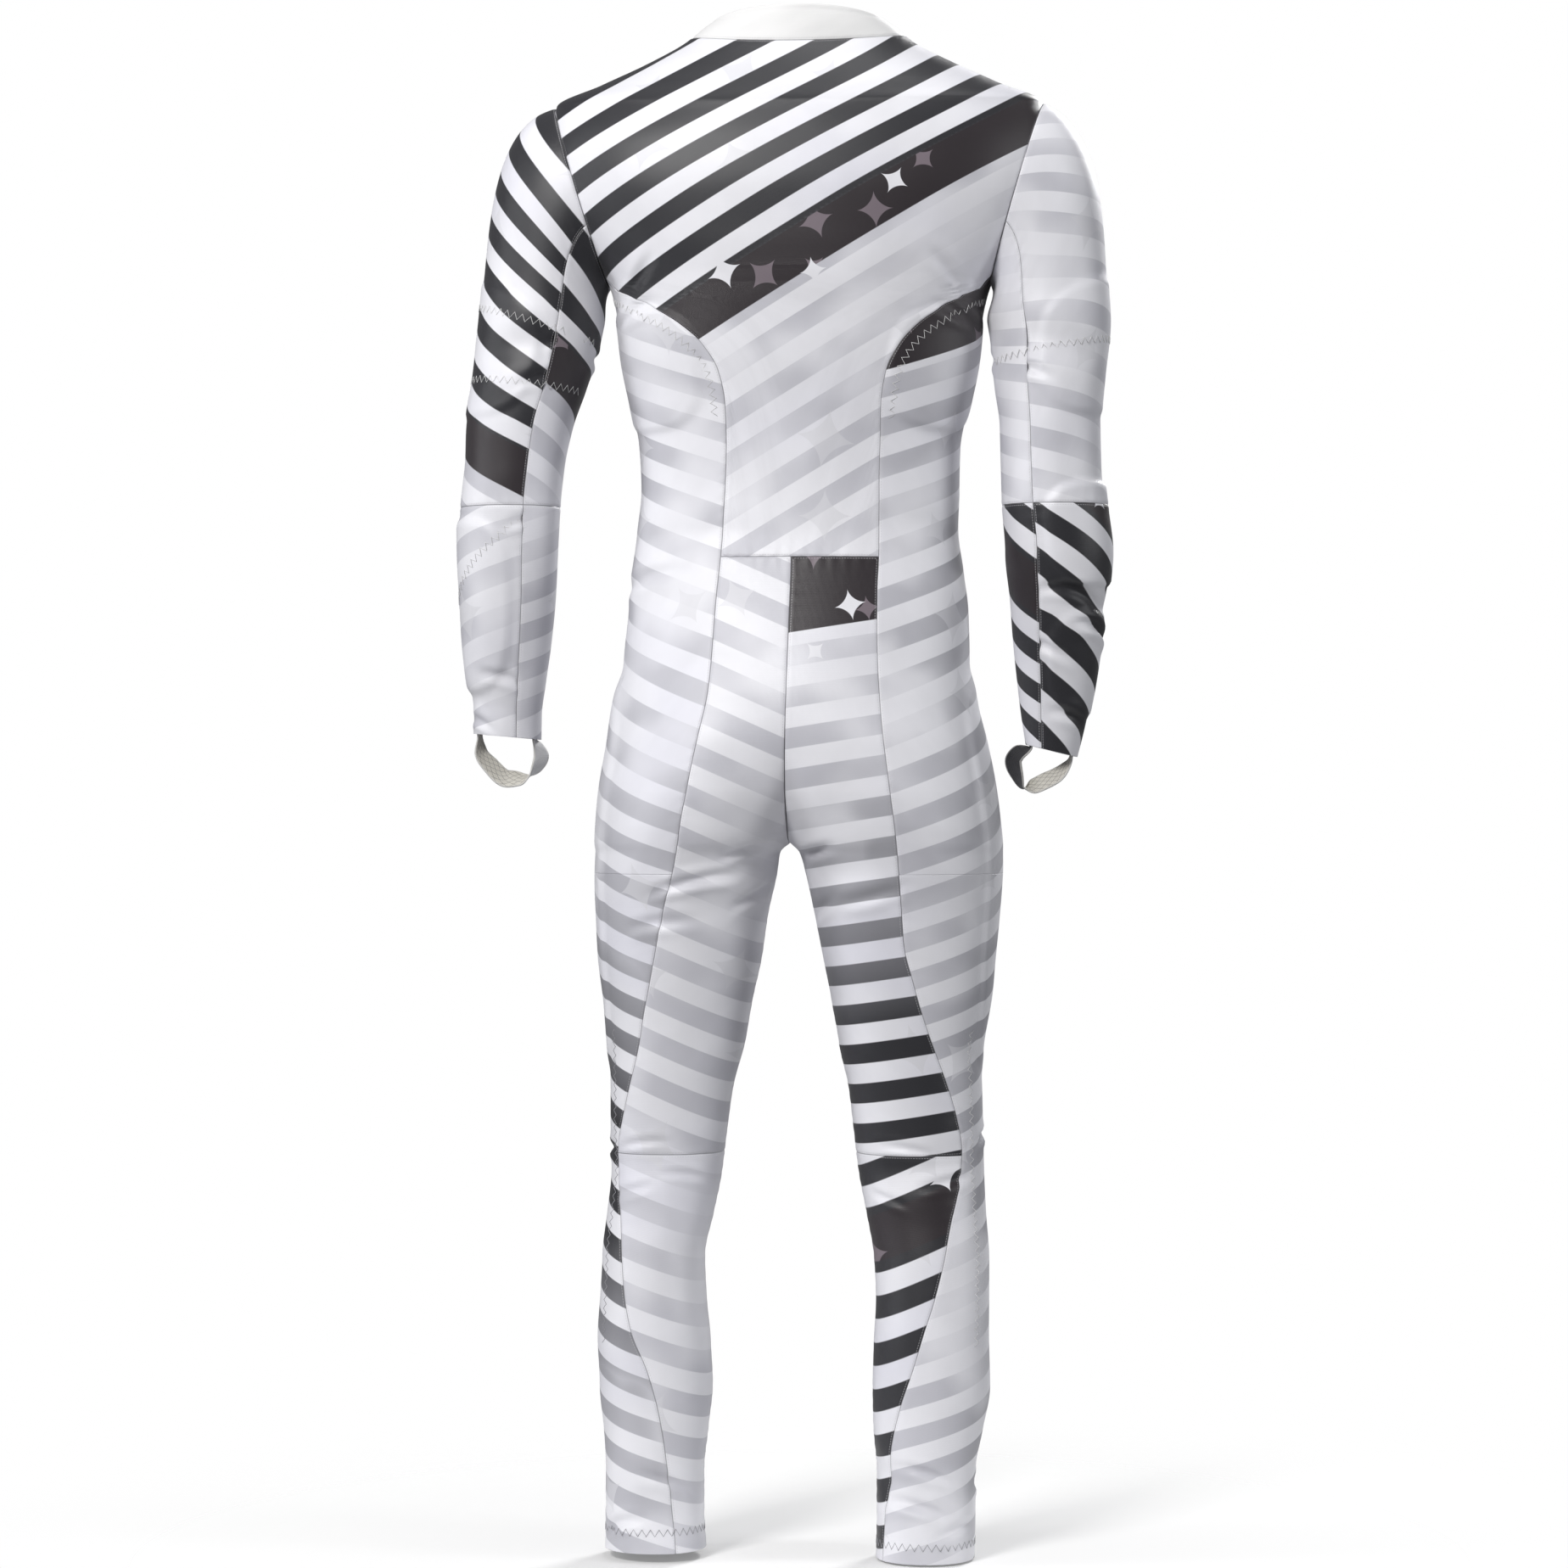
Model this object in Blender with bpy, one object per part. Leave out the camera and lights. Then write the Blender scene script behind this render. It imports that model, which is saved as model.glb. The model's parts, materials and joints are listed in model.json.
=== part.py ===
# Ski race suit in its worn, hollow shape: cut and sewn panels of a stretch cloth,
# a stand collar, two sleeves with hand loops, and a front zip.
#
# Frame: +Z up, the wearer faces +Y, so the back is towards -Y and the wearer's right is +X.
# The origin is the middle of the neck seam at the shoulders, where a wearer holds the suit up.
# Table rows are in millimetres. A drop is a height measured down from that origin.

import math

import bmesh
import bpy
import numpy as np

MM = 0.001
WALL = 2.0              # thickness of the cloth
SEAM_GAP = 0.3          # clear gap between two sewn pieces
LEFT = -1               # side of the wearer: left is -X
RIGHT = 1
OUTER = math.pi / 2     # angles round a section: 0 at the back, then the outer side, then the front
FRONT = math.pi

ARMHOLE_TOP = 66        # drop of the shoulder point
ARMHOLE_BOTTOM = 238    # drop of the armpit
ARMHOLE_TOP_X = 234     # distance of the armhole seam from the middle, at its top and bottom
ARMHOLE_BOTTOM_X = 183
ARMHOLE_DEPTH = 70      # the armhole's half size, front to back
NECK_DIP_FRONT = 56     # how far the neck seam dips at the front and at the back
NECK_DIP_BACK = 13
NECK_DIP_ENDS = 170     # drop at which that dip has faded out
BACK_WAIST = 502        # drop of the waist seam across the back
FRONT_WAIST = 600       # drop of the seam across the front, at the foot of the zip
CROTCH = 772
HIP = 801               # drop of the seam between the body's side panel and the leg's
KNEE = 1068
LEFT_HEM = 1446
RIGHT_HEM = 1453
ZIP_HALF_WIDTH = 12     # half width of the zip tape
SLEEVE_COLUMNS = 16     # points round a sleeve
UNDER_SLEEVE = 5        # columns from the outer line to the under-sleeve seams
BACK_COLUMNS = 6        # steps across half a back panel, a side panel and a front panel
SIDE_COLUMNS = 6
FRONT_COLUMNS = 5
COLLAR_ROWS = 3
CAP_ROWS = 4            # rows between the armhole and the top of the arm
CAP_OUT = {LEFT: 0.85, RIGHT: 0.7}  # how far the sleeve leaves the armhole sideways, not downwards

# Trunk sections: drop, middle x, half widths to the left and the right, share of the half width
# at which each half's own centre lies, middle y, depth to the back and the front, squareness.
TRUNK_ROWS = (
    (0, 0, 103, 102, 0.00, -6, 68, 60, 2.2),
    (8, 0, 115, 113, 0.00, -6, 74, 64, 2.2),
    (26, 0, 149, 148, 0.00, -6, 86, 72, 2.2),
    (46, 0, 192, 191, 0.00, -6, 97, 82, 2.3),
    (66, 0, 234, 234, 0.00, -6, 106, 90, 2.3),
    (110, 0, 236, 236, 0.00, -5, 117, 108, 2.4),
    (160, 0, 226, 226, 0.00, -3, 122, 121, 2.4),
    (200, 0, 206, 206, 0.00, -1, 121, 128, 2.4),
    (238, 0, 183, 183, 0.00, 0, 117, 130, 2.4),
    (271, 0, 175, 175, 0.00, 1, 112, 129, 2.4),
    (312, 0, 170, 170, 0.00, 2, 106, 126, 2.4),
    (352, 0, 162, 162, 0.00, 3, 100, 121, 2.35),
    (393, 0, 155, 154, 0.00, 4, 96, 116, 2.3),
    (434, 0, 153, 153, 0.00, 4, 94, 112, 2.3),
    (475, -2, 155, 154, 0.00, 3, 95, 110, 2.3),
    (516, -2, 160, 160, 0.00, 1, 101, 109, 2.3),
    (556, -3, 162, 165, 0.00, -2, 109, 108, 2.3),
    (597, -4, 165, 167, 0.00, -4, 117, 107, 2.25),
    (638, -5, 172, 173, 0.09, -5, 124, 105, 2.2),
    (679, -6, 177, 184, 0.24, -5, 128, 102, 2.2),
    (720, -7, 183, 193, 0.37, -5, 127, 99, 2.2),
    (752, -8, 185, 198, 0.46, -4, 123, 97, 2.2),
    (772, -9, 185, 201, 0.50, -4, 118, 96, 2.2),
)

# Leg sections: drop, left centre, left half width, right centre, right half width,
# middle y, depth to the back and the front.
LEG_ROWS = (
    (781, 106, 87, 96, 96, -4, 115, 95),
    (801, 108, 86, 99, 93, -4, 110, 93),
    (842, 112, 81, 102, 87, -4, 100, 89),
    (883, 114, 77, 104, 81, -4, 92, 85),
    (924, 116, 70, 106, 75, -4, 84, 80),
    (964, 118, 65, 106, 68, -4, 77, 75),
    (1005, 123, 59, 111, 64, -4, 71, 71),
    (1046, 126, 56, 114, 62, -4, 66, 68),
    (1087, 128, 53, 117, 60, -5, 63, 66),
    (1128, 134, 51, 122, 57, -8, 64, 62),
    (1168, 140, 49, 127, 55, -12, 66, 57),
    (1209, 140, 51, 128, 54, -15, 67, 53),
    (1250, 139, 54, 127, 55, -17, 66, 51),
    (1291, 137, 54, 127, 56, -18, 63, 50),
    (1332, 137, 50, 124, 52, -19, 58, 49),
    (1372, 138, 47, 122, 47, -20, 53, 49),
    (1413, 138, 47, 122, 47, -20, 51, 50),
    (1456, 137, 49, 121, 47, -20, 52, 51),
)

# Rows at which the pieces below the armpit are drawn, and where the seams lie there:
# drop, x of the back side seam on the left and the right, x of the front side seam.
SEAM_ROWS = (
    (246, 172, 174, 174),
    (256, 152, 156, 163),
    (268, 129, 136, 151),
    (283, 106, 116, 140),
    (302, 86, 99, 129),
    (327, 71, 87, 119),
    (357, 65, 82, 111),
    (393, 64, 81, 106),
    (430, 65, 80, 106),
    (466, 67, 80, 108),
    (502, 69, 80, 111),
    (534, 72, 79, 115),
    (567, 74, 79, 119),
    (600, 76, 80, 124),
    (632, 79, 82, 130),
    (665, 86, 85, 137),
    (697, 93, 89, 143),
    (728, 99, 93, 147),
    (752, 104, 96, 149),
    (772, 107, 98, 150),
    (801, 113, 100, 151),
    (834, 122, 102, 151),
    (867, 129, 104, 151),
    (901, 136, 112, 150),
    (934, 143, 121, 148),
    (967, 149, 132, 146),
    (1001, 158, 144, 144),
    (1034, 166, 153, 143),
    (1068, 172, 158, 144),
    (1100, 170, 154, 147),
    (1133, 167, 147, 150),
    (1166, 165, 141, 153),
    (1199, 162, 133, 154),
    (1234, 155, 122, 153),
    (1270, 140, 111, 151),
    (1306, 130, 99, 148),
    (1342, 124, 91, 146),
    (1378, 120, 88, 145),
    (1414, 116, 84, 144),
)

# Arm sections: drop, centre x, half width, middle y, half depth, how much the ring tilts down inwards.
ARM_ROWS = {
    LEFT: (
        (255, 247, 58, -6, 62, 20),
        (291, 252, 57, -8, 60, 12),
        (332, 260, 54, -10, 57, 5),
        (373, 270, 51, -12, 54, 2),
        (414, 275, 48, -12, 51, 0),
        (450, 279, 48, -10, 50, 0),
        (495, 281, 47, -4, 49, 0),
        (536, 282, 45, 4, 47, 0),
        (577, 284, 42, 13, 43, 0),
        (618, 286, 37, 23, 38, 0),
        (650, 287, 33, 31, 35, 0),
        (670, 288, 33, 36, 34, 3),
    ),
    RIGHT: (
        (255, 237, 57, -6, 62, 20),
        (291, 240, 56, -8, 60, 12),
        (332, 239, 52, -10, 57, 5),
        (373, 240, 48, -12, 54, 2),
        (414, 241, 48, -12, 51, 0),
        (450, 243, 49, -10, 50, 0),
        (495, 247, 50, -4, 50, 0),
        (536, 247, 46, 4, 47, 0),
        (577, 246, 42, 13, 43, 0),
        (618, 245, 37, 23, 38, 0),
        (655, 243, 31, 32, 34, -3),
        (684, 241, 25, 39, 32, -6),
    ),
}
UPPER_ARM_DROPS = (255, 285, 317, 350, 383, 416, 450)
FOREARM_DROPS = {
    LEFT: (450, 481, 513, 545, 577, 609, 641, 670),
    RIGHT: (450, 483, 517, 550, 584, 617, 651, 684),
}

# Pads sewn under the cloth lift it: limb, side, mid angle in degrees, mid drop,
# half size round the limb in degrees, half size down the limb, height.
PADS = (
    ("body", LEFT, 100, 800, 42, 200, 3.0),
    ("body", RIGHT, 100, 800, 42, 200, 3.0),
    ("body", LEFT, 62, 322, 36, 62, 2.5),
    ("body", RIGHT, 62, 322, 36, 62, 2.5),
    ("body", LEFT, 175, 1180, 50, 150, 3.0),
    ("body", RIGHT, 175, 1180, 50, 150, 3.0),
    ("arm", LEFT, -30, 545, 75, 88, 3.5),
    ("arm", RIGHT, -30, 478, 75, 52, 3.5),
    ("arm", RIGHT, -30, 600, 75, 52, 2.5),
    ("arm", LEFT, -30, 310, 75, 60, 2.0),
    ("arm", RIGHT, -30, 310, 75, 60, 2.0),
)
PAD_EDGE_DEGREES = 12
PAD_EDGE_DROP = 14

# Largest folds, pressed into both faces of the cloth: limb, side, mid angle in degrees, mid drop,
# half length round the limb in degrees, half width down the limb, slant in mm a degree, depth.
FOLDS = (
    ("body", LEFT, -30, 792, 42, 15, 0.10, 5.0),
    ("body", LEFT, -20, 828, 40, 14, 0.25, 3.0),
    ("body", RIGHT, -35, 800, 32, 15, -0.20, 4.0),
    ("body", LEFT, 0, 1072, 70, 16, 0.05, 3.5),
    ("body", RIGHT, 0, 1078, 70, 16, -0.10, 3.5),
    ("body", RIGHT, -30, 1382, 60, 15, 0.35, 4.0),
    ("body", LEFT, 10, 1400, 60, 15, -0.25, 3.0),
    ("arm", LEFT, -80, 300, 55, 15, 0.35, 4.0),
    ("arm", RIGHT, -80, 300, 55, 15, 0.35, 4.0),
    ("arm", RIGHT, -40, 545, 70, 12, 0.15, 4.0),
    ("arm", LEFT, -60, 640, 70, 12, -0.15, 3.0),
)

# Top ring of the collar: half width, depths and middle from front to back, and its height at the
# back, the sides and the front.
COLLAR_HALF = 83
COLLAR_BACK = 62
COLLAR_FRONT = 50
COLLAR_MID_Y = -4
COLLAR_UP_BACK = 23
COLLAR_UP_SIDE = 13
COLLAR_UP_FRONT = -21
CHAIN_HALF_WIDTH = 4    # the zip's chain stands up along the middle of its tape
CHAIN_HEIGHT = 1.5

# Hand loops, from the left end to the right: x across from the middle of the cuff, y from its
# middle, drop below its edge, and how far the far edge of the strap leans into the loop.
LOOP_ROWS = {
    LEFT: (
        (-26.8, -1.2, -7, 0),
        (-27.0, 0, 1, 5),
        (-26, -1, 14, 28),
        (-16, -3, 28, 48),
        (1, -4, 41, 55),
        (13, -4, 41, 40),
        (22, -3, 38, 5),
        (29, -2, 30, -25),
        (33, 0, 19, -38),
        (30, 0.6, 9, -20),
        (25.8, -0.2, 1, 0),
        (25.4, -2.0, -9, 0),
    ),
    RIGHT: (
        (-20.0, -2.4, -12, 0),
        (-19.6, -0.6, -4, -5),
        (-32, 0, 2, -48),
        (-37, -1, 10, -52),
        (-33, -3, 24, -35),
        (-26, -4, 36, 0),
        (-17, -4, 34, 45),
        (-6, -4, 29, 50),
        (4, -3, 24, 45),
        (12, -1, 17, 30),
        (18.4, 0, 7, 8),
        (19.2, -0.6, -1, 0),
    ),
}
LOOP_WIDTH = 20
LOOP_WALL = 2.0
LOOP_STEPS = 24
LOOP_BOW = {LEFT: 1.9, RIGHT: 1.3}  # the strap's ends bow out to follow the cuff

# Zip slider and pull tab, in the slider's own directions: across, along the zip, out of the cloth.
# The pull's bar turns under the bridge.
SLIDER_HALF = (4.5, 6.5)
SLIDER_THICK = 3.6
SLIDER_DROP = 9         # from the top of the zip to the middle of the slider
BRIDGE_HALF_WIDTH = 1.5
BRIDGE_SPAN = 2.0       # half the clear length under the bridge
BRIDGE_CLEAR = 3.2      # clear height under it
BRIDGE_THICK = 1.4
TAB_HALF_WIDTH = 4.0
TAB_LENGTH = 30.0
TAB_THICK = 1.6
TAB_WINDOW = (2.2, 5.8)  # half width of the window round the bridge, and its length
TAB_LEAN = 2           # degrees by which the pull lies forward of the slider, on the chest

CLOTH_WHITE = (0.80, 0.80, 0.83, 1.0)
CLOTH_GREY = (0.50, 0.50, 0.54, 1.0)
CLOTH_BLACK = (0.03, 0.03, 0.04, 1.0)
COLLAR_GREY = (0.75, 0.75, 0.75, 1.0)
LOOP_BEIGE = (0.62, 0.60, 0.54, 1.0)
METAL = (0.35, 0.35, 0.37, 1.0)


def smooth_table(knots, values, at):
    """A cubic through the table that never overshoots it: the slope at a knot is the harmonic
    mean of its neighbours' slopes, or nothing where they turn."""
    knots = np.asarray(knots, float)
    values = np.asarray(values, float)
    at = np.clip(np.asarray(at, float), knots[0], knots[-1])
    steps = np.diff(knots)
    slopes = np.diff(values) / steps
    inner = np.where(
        slopes[:-1] * slopes[1:] > 0,
        2 * slopes[:-1] * slopes[1:] / np.where(slopes[:-1] + slopes[1:] == 0, 1, slopes[:-1] + slopes[1:]),
        0.0,
    )
    tangents = np.concatenate([[slopes[0]], inner, [slopes[-1]]])
    i = np.clip(np.searchsorted(knots, at, side="right") - 1, 0, len(steps) - 1)
    t = (at - knots[i]) / steps[i]
    return (
        (2 * t**3 - 3 * t**2 + 1) * values[i]
        + (t**3 - 2 * t**2 + t) * steps[i] * tangents[i]
        + (3 * t**2 - 2 * t**3) * values[i + 1]
        + (t**3 - t**2) * steps[i] * tangents[i + 1]
    )


def smooth_step(t):
    t = np.clip(t, 0.0, 1.0)
    return t * t * (3 - 2 * t)


def signed_power(value, power):
    return np.sign(value) * np.abs(value) ** power


def trunk_and_leg_rows(side):
    """One table down each half of the body: drop, centre, half width, y, back, front, squareness."""
    rows = []
    for drop, mid, left, right, share, y, back, front, square in TRUNK_ROWS:
        width = left if side == LEFT else right
        rows.append((drop, side * mid + share * width, (1 - share) * width, y, back, front, square))
    for drop, left_x, left_half, right_x, right_half, y, back, front in LEG_ROWS:
        centre, half = (left_x, left_half) if side == LEFT else (right_x, right_half)
        rows.append((drop, centre, half, y, back, front, 2.15))
    return np.array(rows, float).T


BODY = {side: trunk_and_leg_rows(side) for side in (LEFT, RIGHT)}
TRUNK = np.array(TRUNK_ROWS, float).T
SEAMS = np.array(SEAM_ROWS, float).T


def armhole_x(drop):
    share = (drop - ARMHOLE_TOP) / (ARMHOLE_BOTTOM - ARMHOLE_TOP)
    return ARMHOLE_TOP_X + share * (ARMHOLE_BOTTOM_X - ARMHOLE_TOP_X)


def armhole_depth(drop):
    """Half size of the armhole, front to back, at a drop: an ellipse between its top and bottom."""
    middle = (ARMHOLE_TOP + ARMHOLE_BOTTOM) / 2
    half = (ARMHOLE_BOTTOM - ARMHOLE_TOP) / 2
    return ARMHOLE_DEPTH * np.sqrt(np.clip(1 - ((drop - middle) / half) ** 2, 0, 1))


def section(side, drop):
    """Centre, half widths to the back and the front, y, depths and squareness at a drop."""
    knots = BODY[side][0]
    centre, half, y, back, front, square = (smooth_table(knots, column, drop) for column in BODY[side][1:])
    inside = (drop > ARMHOLE_TOP) & (drop < ARMHOLE_BOTTOM)
    halves = []
    for depth in (back, front):
        share = np.where(inside, armhole_depth(drop) / depth, 0.0)
        wide = armhole_x(drop) / (1 - share**square) ** (1 / square)
        halves.append(np.where(inside, wide, half))
    return centre, halves[0], halves[1], y, back, front, square


def neck_dip(angle, drop):
    fade = 1 - smooth_step(drop / NECK_DIP_ENDS)
    towards_back = np.clip(np.cos(angle), 0, 1) ** 1.5
    towards_front = np.clip(-np.cos(angle), 0, 1) ** 1.2
    return fade * (NECK_DIP_BACK * towards_back + NECK_DIP_FRONT * towards_front)


def lift(kind, limb, side, angle, drop):
    """Height of the pads, or depth of the folds, over a point of a limb."""
    degrees = np.degrees(angle)
    total = np.zeros_like(np.asarray(angle + drop, float))
    if kind == "pads":
        for where, pad_side, mid, mid_drop, half_angle, half_drop, height in PADS:
            if (where, pad_side) != (limb, side):
                continue
            across = smooth_step((half_angle - np.abs(degrees - mid)) / PAD_EDGE_DEGREES)
            along = smooth_step((half_drop - np.abs(drop - mid_drop)) / PAD_EDGE_DROP)
            total = total + height * across * along
        return total
    for where, fold_side, mid, mid_drop, half_angle, half_width, slant, depth in FOLDS:
        if (where, fold_side) != (limb, side):
            continue
        across = np.clip(1 - ((degrees - mid) / half_angle) ** 2, 0, 1) ** 2
        along = np.exp(-(((drop - mid_drop - slant * (degrees - mid)) / half_width) ** 2))
        total = total - depth * across * along
    return total


def body_base(side, angle, drop):
    """A point of the body's surface: a section's superellipse, in millimetres."""
    centre, wide_back, wide_front, y, back, front, square = section(side, drop)
    sine = signed_power(np.sin(angle), 2 / square)
    cosine = signed_power(np.cos(angle), 2 / square)
    to_back = np.cos(angle) > 0
    x = side * (centre + np.where(to_back, wide_back, wide_front) * sine)
    y = y - np.where(to_back, back, front) * cosine
    return np.stack([x, y, -(drop + neck_dip(angle, drop))], axis=-1)


def arm_base(side, angle, drop):
    """A point of the arm's surface. Its angle is 0 outwards, positive to the front."""
    rows = np.array(ARM_ROWS[side], float).T
    x, half, y, depth, tilt = (smooth_table(rows[0], column, drop) for column in rows[1:])
    px = side * (x + half * np.cos(angle))
    py = y + depth * np.sin(angle)
    return np.stack([px, py, -(drop - tilt * np.cos(angle))], axis=-1)


def normal_of(base, side, angle, drop):
    """Unit normal of a surface by small steps, turned to point out of the garment."""
    d_angle, d_drop = 1e-3, 0.2
    along_angle = base(side, angle + d_angle, drop) - base(side, angle - d_angle, drop)
    along_drop = base(side, angle, drop + d_drop) - base(side, angle, drop - d_drop)
    n = np.cross(along_drop, along_angle) * side
    return n / np.maximum(np.linalg.norm(n, axis=-1, keepdims=True), 1e-9)


def faces_of(base, limb):
    """A function that gives the outer and inner face of a piece on that surface."""

    def both(side, angle, drop):
        n = normal_of(base, side, angle, drop)
        folded = base(side, angle, drop) + n * lift("folds", limb, side, angle, drop)[..., None]
        outer = folded + n * lift("pads", limb, side, angle, drop)[..., None]
        return outer, folded - n * WALL

    return both


BODY_FACES = faces_of(body_base, "body")
ARM_FACES = faces_of(arm_base, "arm")


def angle_at_x(side, drop, x, front=False):
    """Angle at which the section at a drop has this distance from the middle, on its back or front."""
    centre, wide_back, wide_front, _, _, _, square = section(side, drop)
    share = np.clip((x - centre) / (wide_front if front else wide_back), -1, 1)
    angle = np.arcsin(signed_power(share, square / 2))
    return FRONT - angle if front else angle


def inner_angle(side, drop, front=False):
    """Angle of the middle seam above the crotch, and of the inside leg seam below it."""
    middle = side * np.interp(drop, TRUNK[0], TRUNK[1])
    angle = angle_at_x(side, drop, middle, front)
    inside_leg = FRONT + OUTER if front else -OUTER
    return np.where(drop < CROTCH, angle, inside_leg)


def armhole_angle(side, drop, front=False):
    _, _, _, _, back, front_depth, square = section(side, drop)
    depth = front_depth if front else back
    angle = np.arccos(np.clip(armhole_depth(drop) / depth, 0, 1) ** (square / 2))
    return FRONT - angle if front else angle


def armhole_ring(side):
    """Points round the armhole seam, one for each column of the sleeve, and the way inwards there."""
    turn = 2 * math.pi * np.arange(SLEEVE_COLUMNS) / SLEEVE_COLUMNS
    middle = (ARMHOLE_TOP + ARMHOLE_BOTTOM) / 2
    drop = middle - (ARMHOLE_BOTTOM - ARMHOLE_TOP) / 2 * np.cos(turn)
    to_front = np.sin(turn) >= 0
    y = section(side, drop)[3] + np.where(to_front, 1, -1) * armhole_depth(drop)
    ring = np.stack([side * armhole_x(drop), y, -drop], axis=-1)
    inwards = ring.mean(axis=0) - ring
    inwards = inwards / np.linalg.norm(inwards, axis=-1, keepdims=True) - (0.7 * side, 0, 0)
    return ring, inwards / np.linalg.norm(inwards, axis=-1, keepdims=True)


def ring_drops():
    """Drops of the armhole's points from its top to its bottom, down one side."""
    turn = math.pi * np.arange(SLEEVE_COLUMNS // 2 + 1) / (SLEEVE_COLUMNS // 2)
    return (ARMHOLE_TOP + ARMHOLE_BOTTOM) / 2 - (ARMHOLE_BOTTOM - ARMHOLE_TOP) / 2 * np.cos(turn)


def shift_edges(outer, inner, edges):
    """Pulls the named edges of a piece back by half a seam gap, along the cloth."""
    half = SEAM_GAP / 2
    for grid in (outer, inner):
        for edge in edges:
            line, beside = {
                "top": ((0, slice(None)), (1, slice(None))),
                "bottom": ((-1, slice(None)), (-2, slice(None))),
                "first": ((slice(None), 0), (slice(None), 1)),
                "last": ((slice(None), -1), (slice(None), -2)),
            }[edge]
            way = grid[beside] - grid[line]
            grid[line] += half * way / np.linalg.norm(way, axis=-1, keepdims=True)


def add_solid(name, outer, inner, colour):
    """A closed wall between two grids of points: both faces and the rim all round."""
    rows, columns = outer.shape[:2]
    points = np.concatenate([outer.reshape(-1, 3), inner.reshape(-1, 3)]) * MM
    index = np.arange(rows * columns).reshape(rows, columns)
    far = index + rows * columns
    faces = []
    for i in range(rows - 1):
        for j in range(columns - 1):
            a, b, c, d = index[i, j], index[i, j + 1], index[i + 1, j + 1], index[i + 1, j]
            faces.append((a, b, c, d))
            faces.append((far[i, j], far[i + 1, j], far[i + 1, j + 1], far[i, j + 1]))
    rim = [(0, j) for j in range(columns - 1)]
    rim += [(i, columns - 1) for i in range(rows - 1)]
    rim += [(rows - 1, j) for j in range(columns - 1, 0, -1)]
    rim += [(i, 0) for i in range(rows - 1, 0, -1)]
    for k, here in enumerate(rim):
        there = rim[(k + 1) % len(rim)]
        faces.append((index[there], index[here], far[here], far[there]))
    mesh = bpy.data.meshes.new(name)
    mesh.from_pydata([tuple(p) for p in points], [], faces)
    shape = bmesh.new()
    shape.from_mesh(mesh)
    bmesh.ops.triangulate(shape, faces=shape.faces)
    bmesh.ops.recalc_face_normals(shape, faces=shape.faces)
    shape.to_mesh(mesh)
    shape.free()
    return add_object(name, mesh, colour)


def add_object(name, mesh, colour, metallic=0.0, roughness=0.6):
    made = bpy.data.objects.new(name, mesh)
    material = bpy.data.materials.new(name)
    material.use_nodes = True
    shader = material.node_tree.nodes["Principled BSDF"]
    shader.inputs["Base Color"].default_value = colour
    shader.inputs["Metallic"].default_value = metallic
    shader.inputs["Roughness"].default_value = roughness
    made.data.materials.append(material)
    suit_collection().objects.link(made)
    return made


def suit_collection():
    name = "ski_race_suit"
    found = bpy.data.collections.get(name)
    if found is None:
        found = bpy.data.collections.new(name)
        bpy.context.scene.collection.children.link(found)
    return found


def grid_between(first_angle, last_angle, drop, columns):
    """Angles and drops over a piece: each row runs level from one edge to the other."""
    share = np.linspace(0, 1, columns + 1)[None, :]
    angle = first_angle[:, None] * (1 - share) + last_angle[:, None] * share
    return angle, np.repeat(drop[:, None], columns + 1, axis=1)


def upper_edge(side, front):
    """Edge of a bodice panel: shoulder seam, armhole, then the side seam down to the waist."""
    shoulder = np.linspace(0, ARMHOLE_TOP, 6)
    armhole = ring_drops()[1:-1]
    foot = FRONT_WAIST if front else BACK_WAIST
    down = SEAMS[0][SEAMS[0] <= foot]
    column = 3 if front else (1 if side == LEFT else 2)
    seam_x = SEAMS[column][: len(down)]
    angles = np.concatenate([
        np.full(len(shoulder), OUTER),
        armhole_angle(side, armhole, front),
        angle_at_x(side, down, seam_x, front),
    ])
    return angles, np.concatenate([shoulder, armhole, down])


def bodice_back():
    angles, drops = {}, {}
    for side in (LEFT, RIGHT):
        edge_angle, edge_drop = upper_edge(side, front=False)
        middle = np.zeros(len(edge_drop))
        angles[side], drops[side] = grid_between(middle, edge_angle, edge_drop, BACK_COLUMNS)
    faces = {side: BODY_FACES(side, angles[side], drops[side]) for side in (LEFT, RIGHT)}
    outer, inner = (
        np.concatenate([faces[LEFT][k][:, :0:-1], (faces[LEFT][k][:, :1] + faces[RIGHT][k][:, :1]) / 2,
                        faces[RIGHT][k][:, 1:]], axis=1)
        for k in (0, 1)
    )
    for side, column in ((LEFT, 0), (RIGHT, -1)):
        fit_armhole(side, outer, inner, column, front=False)
    fit_neck(outer, inner)
    shift_edges(outer, inner, ("top", "bottom", "first", "last"))
    return add_solid("bodice_back", outer, inner, CLOTH_GREY)


def fit_armhole(side, outer, inner, column, front):
    """Sets the armhole points of a bodice panel to the sleeve's ring, with the ring's way inwards."""
    ring, inwards = armhole_ring(side)
    count = SLEEVE_COLUMNS // 2
    for k in range(count):
        row = 5 + k
        turn = k if front else -k
        outer[row, column] = ring[turn]
        inner[row, column] = ring[turn] + WALL * inwards[turn]


def fit_neck(outer, inner, row=0):
    """Sets the rim at the neck seam to point towards the neck and down, between the two pieces."""
    for j in range(outer.shape[1]):
        way = np.array([-outer[row, j, 0], -6 - outer[row, j, 1], 0.0])
        way = way / np.linalg.norm(way) - (0, 0, 0.6)
        inner[row, j] = outer[row, j] + WALL * way / np.linalg.norm(way)


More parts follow.
